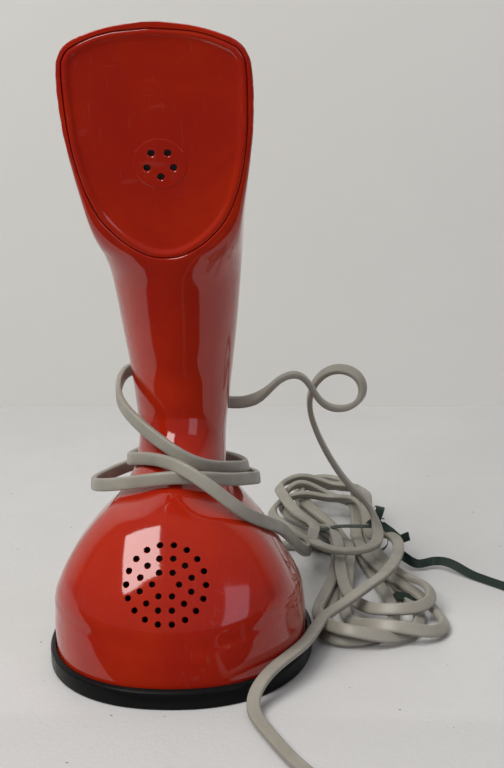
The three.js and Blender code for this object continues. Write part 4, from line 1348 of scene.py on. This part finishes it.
# Case
def case_inset(z, inner):
    """How far the inner skin stands in from the outer one: at the sides, and at the front."""
    if not inner:
        return 0.0, 0.0
    return WALL, WALL + (FACE_LEDGE - WALL) * smooth(138, 150, z)


def half_outline(z, inner, count):
    """One side of the case's outline at a height, from the front seam to the back seam."""
    side_inset, front_inset = case_inset(z, inner)
    level = z + 1.2 if inner else z
    half = max(half_width(level) - side_inset, 0.02)
    y_front = front(level) + front_inset
    y_back = max(back(level) - side_inset, y_front + 0.2)
    middle = min(max(widest(level), y_front + 0.1), y_back - 0.1)
    found = []
    fine = 360
    for i in range(fine + 1):
        angle = math.pi * (i / fine - 0.5)
        c, s = max(math.cos(angle), 0.0), math.sin(angle)
        power = front_power(level) if s < 0 else back_power(level)
        reach = middle - y_front if s < 0 else y_back - middle
        found.append((half * c ** (2 / power), middle + reach * signed_power(s, 2 / power)))
    line = evenly(found, count)
    line[0, 0] = line[-1, 0] = 0.0
    if not inner:
        line = np.array([skirt(x, y, z) for x, y in line])
    return [(x, y, z) for x, y in line]


def skirt(x, y, z):
    """Draws the dome in a little above the crease that runs from shoulder to shoulder."""
    side = min(abs(x) / 46, 1.0)
    height = SKIRT_FRONT_HEIGHT + (SKIRT_SIDE_HEIGHT - SKIRT_FRONT_HEIGHT) * side ** 2
    if y > 0:
        height = SKIRT_SIDE_HEIGHT - (SKIRT_SIDE_HEIGHT - SKIRT_FRONT_HEIGHT) * (1 - side ** 2) * smooth(0, 20, y)
    draw = SKIRT_STEP * smooth(height - 1.6, height + 1.6, z) * (1 - smooth(height + 8, height + 40, z))
    draw *= 0.35 + 0.65 * side
    reach = math.hypot(x, y)
    factor = 1 - draw / reach if reach > 1 else 1
    return x * factor, y * factor


def case_levels(inner):
    """Heights of the outlines, closer together where the case turns quickly."""
    if inner:
        levels = [CASE_FLOOR - 2, *np.arange(6, 226, 3), 228, 229.5]
        return [float(z) for z in levels]
    levels = list(np.arange(CASE_FLOOR, 14, 1.6)) + list(np.arange(14, 34, 0.8)) + list(np.arange(34, 222, 1.25))
    for i in range(15):
        levels.append(CASE_TOP - 0.35 - 12.6 * (1 - i / 14) ** 1.9)
    return [float(z) for z in levels]


def closed_outline(z, inner, count):
    """The whole outline of the case at a height, from both of its sides."""
    right = half_outline(z, inner, count)
    left = [(-x, y, z) for x, y, z in reversed(right[1:-1])]
    return [*right, *left]


def case_skin(inner):
    """Points and faces of the outer or inner skin, closed at both ends."""
    count = 48 if inner else 96
    return lofted([closed_outline(z, inner, count) for z in case_levels(inner)])


def face_point(across, height, depth):
    """A point from the face's own measures: across it, up it from the chin, and behind it."""
    up = Vector((0, -math.sin(FACE_TILT), math.cos(FACE_TILT)))
    inwards = Vector((0, math.cos(FACE_TILT), math.sin(FACE_TILT)))
    return FACE_CHIN + Vector((across, 0, 0)) + up * height + inwards * depth


def face_outline(inset):
    """The face's outline, drawn in by an inset, as (across, height) points."""
    low, high = FACE_SIDES
    share = np.linspace(0, 1, 60)
    heights = np.concatenate([share ** 2 * low, np.linspace(low, high, 60)[1:],
                              high + FACE_CROWN * (1 - (1 - share[1:]) ** 2)])
    side = [(face_half_width(h), h) for h in heights]
    loop = [*side, *[(-x, h) for x, h in reversed(side[1:-1])]]
    loop = evenly([*loop, loop[0]], FACE_POINTS)[:-1]
    ahead = np.roll(loop, -1, axis=0) - np.roll(loop, 1, axis=0)
    ahead /= np.linalg.norm(ahead, axis=1)[:, None]
    ahead = (np.roll(ahead, 1, axis=0) + ahead * 2 + np.roll(ahead, -1, axis=0)) / 4
    return loop + np.stack([-ahead[:, 1], ahead[:, 0]], axis=1) * inset


def face_solid(section):
    """Points and faces of a solid lofted from (inset, depth) steps of the face's outline."""
    return lofted([[face_point(x, h, depth) for x, h in face_outline(inset)] for inset, depth in section])


def mouth_drills():
    """One drill for each hole in the mouthpiece."""
    inwards = Vector((0, math.cos(MOUTH_TILT), -math.sin(MOUTH_TILT)))
    up = Vector((0, math.sin(MOUTH_TILT), math.cos(MOUTH_TILT)))
    drills = []
    for count, circle in MOUTH_RINGS:
        for i in range(count):
            angle = 2 * math.pi * (i + 0.5) / count
            across = Vector((circle * math.sin(angle), 0, 0))
            start = MOUTH_CENTRE + across + up * circle * math.cos(angle)
            drills.append(drill(on_dome(start, inwards), inwards, MOUTH_HOLE_RADIUS, 16, flare=0.25))
    return joined(drills)


def on_dome(start, inwards):
    """The place where a line along the drilling direction meets the dome."""
    place = start - inwards * 8
    for _ in range(400):
        x, y, z = place
        power = front_power(z)
        middle = widest(z)
        if (abs(x) / half_width(z)) ** power + (abs(y - middle) / (middle - front(z))) ** power < 1:
            break
        place = place + inwards * 0.05
    return place


def case_shell():
    """The whole case as one hollow mesh, with its recess, holes and cord hole."""
    outer_verts, outer_faces = case_skin(False)
    source = bpy.data.meshes.new("outer_skin")
    source.from_pydata([Vector(v) * MM for v in outer_verts], [], outer_faces)
    tidy_mesh(source)
    soften(source, 180)
    mesh = cut(source.copy(), *case_skin(True))
    edge = sizes().rim_rounding / MM
    recess = [(RECESS_INSET - edge, -3), *arc((RECESS_INSET - edge, edge - 0.02), edge, -90, 0)]
    recess += [(RECESS_INSET, RECESS_DEPTH), (OPENING_INSET, RECESS_DEPTH + 0.01), (OPENING_INSET, OPENING_DEPTH)]
    mesh = cut(mesh, *face_solid(recess))
    mesh = cut(mesh, *mouth_drills())
    mesh = cut(mesh, *drill((0, 60, EXIT_HEIGHT), (0, -1, 0), EXIT_RADIUS, 14, flare=0))
    return mesh, source


def half_of(mesh, side):
    """The part of a closed mesh on one side of the seam, closed again at the seam."""
    reach = 90
    near = SEAM_GAP / 2
    low, high = (near, reach) if side > 0 else (-reach, -near)
    return cut(mesh.copy(), *block((low, -reach, -5), (high, reach, CASE_TOP + 10)), "INTERSECT")


def case_halves():
    """The left and right halves of the case, parted at the seam."""
    mesh, source = case_shell()
    for name, node_name, side in (
        ("case_half_left", "left_case_half", 1), ("case_half_right", "right_case_half", -1)
    ):
        half = half_of(mesh, side)
        piece = finish_piece(name, half, "case", finish_for("case"), 32)
        borrow_normals(piece.data, source)
        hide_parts(node_name)
    bpy.data.meshes.remove(mesh)
    bpy.data.meshes.remove(source)


def dish_depth(from_middle, share):
    """Depth of the ear plate's surface behind the face; the share is 0 at its rim and 1 in its middle."""
    deep = sizes().dish_depth / MM
    hollow = RIM_DEPTH + (deep - RIM_DEPTH) * math.sin(math.pi / 2 * min(1, share * 1.25)) ** 0.9
    return hollow - SPOT_RISE * (1 - smooth(SPOT_RADIUS - SPOT_EDGE, SPOT_RADIUS, from_middle))


def ear_plate():
    """The plate over the receiver: a rounded rim, a shallow dish, a raised round spot and five holes."""
    rim = [(1.9, 2.6), (1.9, 1.3), (1.95, 0.95), (2.1, 0.6), (2.35, 0.33), (2.7, 0.15), (3.1, 0.09), (3.5, 0.12),
           (3.95, 0.27), (4.4, 0.55), (4.8, 0.84)]
    rows = [[face_point(x, h, depth) for x, h in face_outline(inset)] for inset, depth in rim]
    middle = np.array((0.0, EAR_HOLES["height"]))
    spokes = face_outline(PLATE_MIDDLE_INSET) - middle
    reach = np.linalg.norm(spokes, axis=1)[:, None]
    steps = 20
    radii = [reach + (SPOT_RADIUS + 0.1 - reach) * i / steps for i in range(steps)]
    radii += [np.full_like(reach, SPOT_RADIUS + change) for change in (0.1, 0, -0.1, -0.2, -0.3, -0.4, -1, -2)]
    radii += [np.full_like(reach, r) for r in (6, 5, 4, 3, 2, 1)]
    for radius in radii:
        ring = middle + spokes / reach * radius
        depths = [dish_depth(float(r[0]), 1 - float(r[0] / whole[0])) for r, whole in zip(radius, reach)]
        rows.append([face_point(x, h, depth) for (x, h), depth in zip(ring, depths)])
    verts, faces = lofted(rows, close_ends=False)
    count = len(rows[0])
    faces.append(tuple(range(count)))
    tip = len(verts)
    verts.append(face_point(0, EAR_HOLES["height"], dish_depth(0, 1)))
    last = (len(rows) - 1) * count
    faces.extend((last + j, last + (j + 1) % count, tip) for j in range(count))
    mesh = bpy.data.meshes.new("ear_plate")
    mesh.from_pydata([Vector(v) * MM for v in verts], [], faces)
    tidy_mesh(mesh)
    source = mesh.copy()
    soften(source, 180)
    inwards = face_point(0, 0, 1) - face_point(0, 0, 0)
    drills = []
    for i in range(EAR_HOLES["count"]):
        angle = math.pi + 2 * math.pi * i / EAR_HOLES["count"]
        across = EAR_HOLES["circle"] * math.sin(angle)
        height = EAR_HOLES["height"] + EAR_HOLES["circle"] * math.cos(angle)
        surface = dish_depth(EAR_HOLES["circle"], 1)
        start = face_point(across, height, surface)
        drills.append(drill(start, inwards, EAR_HOLES["radius"], 9, flare=0.3, count=28))
    mesh = cut(mesh, *joined(drills))
    piece = finish_piece("ear_plate", mesh, "case", finish_for("case"), 32)
    borrow_normals(piece.data, source)
    bpy.data.meshes.remove(source)
    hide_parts("earpiece_plate")


# Base
def base_ring():
    """The black rubber ring that the case stands in, with rounded edges and a ledge round the case."""
    count = 200
    outer = (BASE_HALF_WIDTH, BASE_HALF_DEPTH)
    rows = []
    for inset, z in [*arc((0.9, 0.9), 0.9, 270, 180, 5), *arc((1.5, BASE_HEIGHT - 1.5), 1.5, 180, 90, 8)]:
        rows.append(super_ellipse(outer[0] - inset, outer[1] - inset, BASE_POWER, count, z))
    for spare, z in ((0.5, BASE_HEIGHT), (0.25, BASE_HEIGHT - 0.25), (0.25, CASE_FLOOR - 0.3)):
        rows.append(super_ellipse(FOOT_HALF_WIDTH + spare, FOOT_HALF_DEPTH + spare, FOOT_POWER, count, z))
    for inset, z in ((0.0, CASE_FLOOR - 0.3), (0.0, 0.4), (-0.4, 0.0)):
        rows.append(super_ellipse(41.5 - inset, 47.5 - inset, BASE_POWER, count, z))
    verts = [p for row in rows for p in row]
    faces = grid_faces(len(rows), count, wrap_columns=True, wrap_rows=True)
    piece = new_piece("rubber_base_ring", verts, faces, "case", finish_for("base_rubber"), "base_rubber", 40)
    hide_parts("base_ring")


def base_screws():
    """Four domed screws with a driver slot."""
    for i, place in enumerate(SCREW_PLACES):
        head = [(0, 1.35), (1.2, 1.42), (2.1, 1.65), (2.6, 2.1), (2.6, 2.7), (1.5, 2.7), (1.5, 11), (0, 11)]
        verts, faces = turned(head, 32, place)
        mesh = bpy.data.meshes.new(f"domed_screw_{i + 1}")
        mesh.from_pydata([Vector(v) * MM for v in verts], [], faces)
        tidy_mesh(mesh)
        x, y = place
        mesh = cut(mesh, *block((x - 4, y - 0.35, 0.5), (x + 4, y + 0.35, 2.05)))
        piece = finish_piece(f"domed_screw_{i + 1}", mesh, "case", finish_for("steel"), 30)
        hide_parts(f"base_screw_{i + 1}")


# Dial
def flat_plate(loops, low, high, edge):
    """A plate from closed outlines, the first outside and the rest its holes, with rounded edges."""
    curve = bpy.data.curves.new("plate_outline", "CURVE")
    curve.dimensions = "2D"
    curve.fill_mode = "BOTH"
    curve.extrude = (high - low) / 2 * MM - edge * MM
    curve.bevel_depth = edge * MM
    curve.bevel_resolution = 2
    curve.offset = -edge * MM
    for points in loops:
        spline = curve.splines.new("POLY")
        spline.points.add(len(points) - 1)
        for point, (x, y) in zip(spline.points, points):
            point.co = (x * MM, y * MM, 0, 1)
        spline.use_cyclic_u = True
    holder = bpy.data.objects.new("plate_outline", curve)
    bpy.context.collection.objects.link(holder)
    mesh = bpy.data.meshes.new_from_object(holder.evaluated_get(bpy.context.evaluated_depsgraph_get()))
    bpy.data.objects.remove(holder)
    bpy.data.curves.remove(curve)
    mesh.transform(Matrix.Translation((0, 0, (low + high) / 2 * MM)))
    return mesh


def circle(radius, centre=(0, 0), count=48):
    """Points of a flat circle."""
    return [(centre[0] + radius * math.cos(2 * math.pi * i / count),
             centre[1] + radius * math.sin(2 * math.pi * i / count)) for i in range(count)]


def finger_places():
    """The number and the centre of each finger hole."""
    for i in range(FINGER_HOLES["count"]):
        angle = math.radians(FINGER_HOLES["first"] + i * FINGER_HOLES["pitch"])
        yield i, (FINGER_HOLES["circle"] * math.cos(angle), FINGER_HOLES["circle"] * math.sin(angle))


def dial():
    """The finger wheel, the number plate with its digits and the dial case."""
    loops = [circle(36, count=160), circle(7.3)]
    loops += [circle(FINGER_HOLES["radius"], place) for _, place in finger_places()]
    wheel = finish_piece("dial_finger_wheel", flat_plate(loops, 4.6, 6, 0.3), "dial",
                         finish_for("ivory_plastic"), 40)
    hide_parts("finger_wheel")
    plate_mesh = flat_plate([circle(36.4, count=160), circle(10)], 7.1, 8.3, 0.15)
    plate = finish_piece("dial_number_plate", plate_mesh, "case", finish_for("ivory_plastic"), 40)
    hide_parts("number_plate")
    outline = [(10, 8.6), (36.7, 8.6), (36.9, 8.4), (36.9, 3.5), (37.1, 3.2), (37.7, 3.2), (37.9, 3.4),
               (37.9, 9.6), (37.7, 9.8), (10, 9.8)]
    case = new_piece("dial_cup", *turned(outline, 128), "case", finish_for("black_plastic"), "black_plastic")
    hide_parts("dial_case")
    dial_numbers()


def dial_numbers():
    """Printed digits, read from below through the finger holes."""
    parts = []
    for i, (x, y) in finger_places():
        text = bpy.data.curves.new("digit", "FONT")
        text.body = str((i + 1) % 10)
        text.size = 6.2 * MM
        text.align_x = "CENTER"
        text.align_y = "CENTER"
        text.extrude = 0.04 * MM
        holder = bpy.data.objects.new("digit", text)
        bpy.context.collection.objects.link(holder)
        mesh = bpy.data.meshes.new_from_object(holder.evaluated_get(bpy.context.evaluated_depsgraph_get()))
        bpy.data.objects.remove(holder)
        bpy.data.curves.remove(text)
        flip = Matrix.Translation((x * MM, y * MM, 7.06 * MM)) @ Matrix.Rotation(math.pi, 4, "X")
        mesh.transform(flip)
        parts.append(([v.co / MM for v in mesh.vertices], [tuple(p.vertices) for p in mesh.polygons]))
        bpy.data.meshes.remove(mesh)
    new_piece("dial_digits", *joined(parts), "case", finish_for("black_plastic"), "black_plastic")


def hook_button():
    """The hook button in the middle of the dial, with its stem."""
    low, high = (corner * (1 / MM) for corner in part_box("hook_plunger"))
    outline = [(0, low.z + 0.25), (3.5, low.z + 0.12), (5.4, low.z + 0.02), (6.0, low.z + 0.05),
               (6.5, low.z + 0.3), (6.8, low.z + 0.8), (6.9, low.z + 1.4), (6.9, 9.8), (6.6, 10.1), (3, 10.1),
               (3, high.z - 0.3), (2.7, high.z), (0, high.z)]
    finish = finish_for("button_plastic")
    piece = new_piece("hook_button", *turned(outline, 72), "plunger", finish, "button_plastic", 30)
    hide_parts("hook_plunger")


def inner_works():
    """Gives every frame part that still shows the finish of its slot."""
    slots = {row["node"]: row["material_slot"] for row in frame["record"]["subparts"]}
    for name, part in frame["nodes"].items():
        part.data.materials.clear()
        part.data.materials.append(finish_for(slots[name]))


# Operators
class TELEPHONE_OT_stage(bpy.types.Operator):
    """Make the camera, the table top, the wall and the lamps"""

    bl_idname = "telephone.stage"
    bl_label = "Stage"

    def execute(self, context):
        camera()
        room()
        return {"FINISHED"}


class TELEPHONE_OT_cord(bpy.types.Operator):
    """Make the flat cord, its strain relief and its plug"""

    bl_idname = "telephone.cord"
    bl_label = "Cord"

    def execute(self, context):
        piece, path, length = free_cord()
        relief = strain_relief()
        plug_pieces = cord_plug()
        ties = hank_ribbon()
        return {"FINISHED"}


class TELEPHONE_OT_case(bpy.types.Operator):
    """Make the two halves of the case"""

    bl_idname = "telephone.case"
    bl_label = "Case halves"

    def execute(self, context):
        case_halves()
        return {"FINISHED"}


class TELEPHONE_OT_ear_plate(bpy.types.Operator):
    """Make the plate over the receiver"""

    bl_idname = "telephone.ear_plate"
    bl_label = "Ear plate"

    def execute(self, context):
        ear_plate()
        return {"FINISHED"}


class TELEPHONE_OT_base(bpy.types.Operator):
    """Make the rubber base ring and its screws"""

    bl_idname = "telephone.base"
    bl_label = "Base ring and screws"

    def execute(self, context):
        base_ring()
        base_screws()
        return {"FINISHED"}


class TELEPHONE_OT_dial(bpy.types.Operator):
    """Make the finger wheel, the number plate and the dial's case"""

    bl_idname = "telephone.dial"
    bl_label = "Dial"

    def execute(self, context):
        dial()
        return {"FINISHED"}


class TELEPHONE_OT_hook_button(bpy.types.Operator):
    """Make the hook button"""

    bl_idname = "telephone.hook_button"
    bl_label = "Hook button"

    def execute(self, context):
        hook_button()
        return {"FINISHED"}


class TELEPHONE_OT_inner_works(bpy.types.Operator):
    """Finish the frame's own parts: gears, springs, contacts, capsules and board"""

    bl_idname = "telephone.inner_works"
    bl_label = "Inner works"

    def execute(self, context):
        inner_works()
        return {"FINISHED"}


OPERATORS = (
    TELEPHONE_OT_stage,
    TELEPHONE_OT_cord,
    TELEPHONE_OT_case,
    TELEPHONE_OT_ear_plate,
    TELEPHONE_OT_base,
    TELEPHONE_OT_dial,
    TELEPHONE_OT_hook_button,
    TELEPHONE_OT_inner_works,
)


class TELEPHONE_PT_panel(bpy.types.Panel):
    """Sizes, colours and pieces of the telephone"""

    bl_idname = "TELEPHONE_PT_panel"
    bl_label = "Upright telephone"
    bl_space_type = "VIEW_3D"
    bl_region_type = "UI"
    bl_category = "Telephone"

    def draw(self, context):
        layout = self.layout
        for settings in (context.scene.telephone_sizes, context.scene.telephone_colours):
            box = layout.box()
            for name in settings.__annotations__:
                box.prop(settings, name)
        for operator in OPERATORS:
            layout.operator(operator.bl_idname)


CLASSES = (TelephoneSizes, TelephoneColours, *OPERATORS, TELEPHONE_PT_panel)


def register():
    for cls in CLASSES:
        bpy.utils.register_class(cls)
    bpy.types.Scene.telephone_sizes = bpy.props.PointerProperty(type=TelephoneSizes)
    bpy.types.Scene.telephone_colours = bpy.props.PointerProperty(type=TelephoneColours)


def unregister():
    del bpy.types.Scene.telephone_colours
    del bpy.types.Scene.telephone_sizes
    for cls in reversed(CLASSES):
        bpy.utils.unregister_class(cls)


def main():
    register()
    for operator in OPERATORS:
        group_name, name = operator.bl_idname.split(".")
        getattr(getattr(bpy.ops, group_name), name)()


if __name__ == "__main__":
    main()
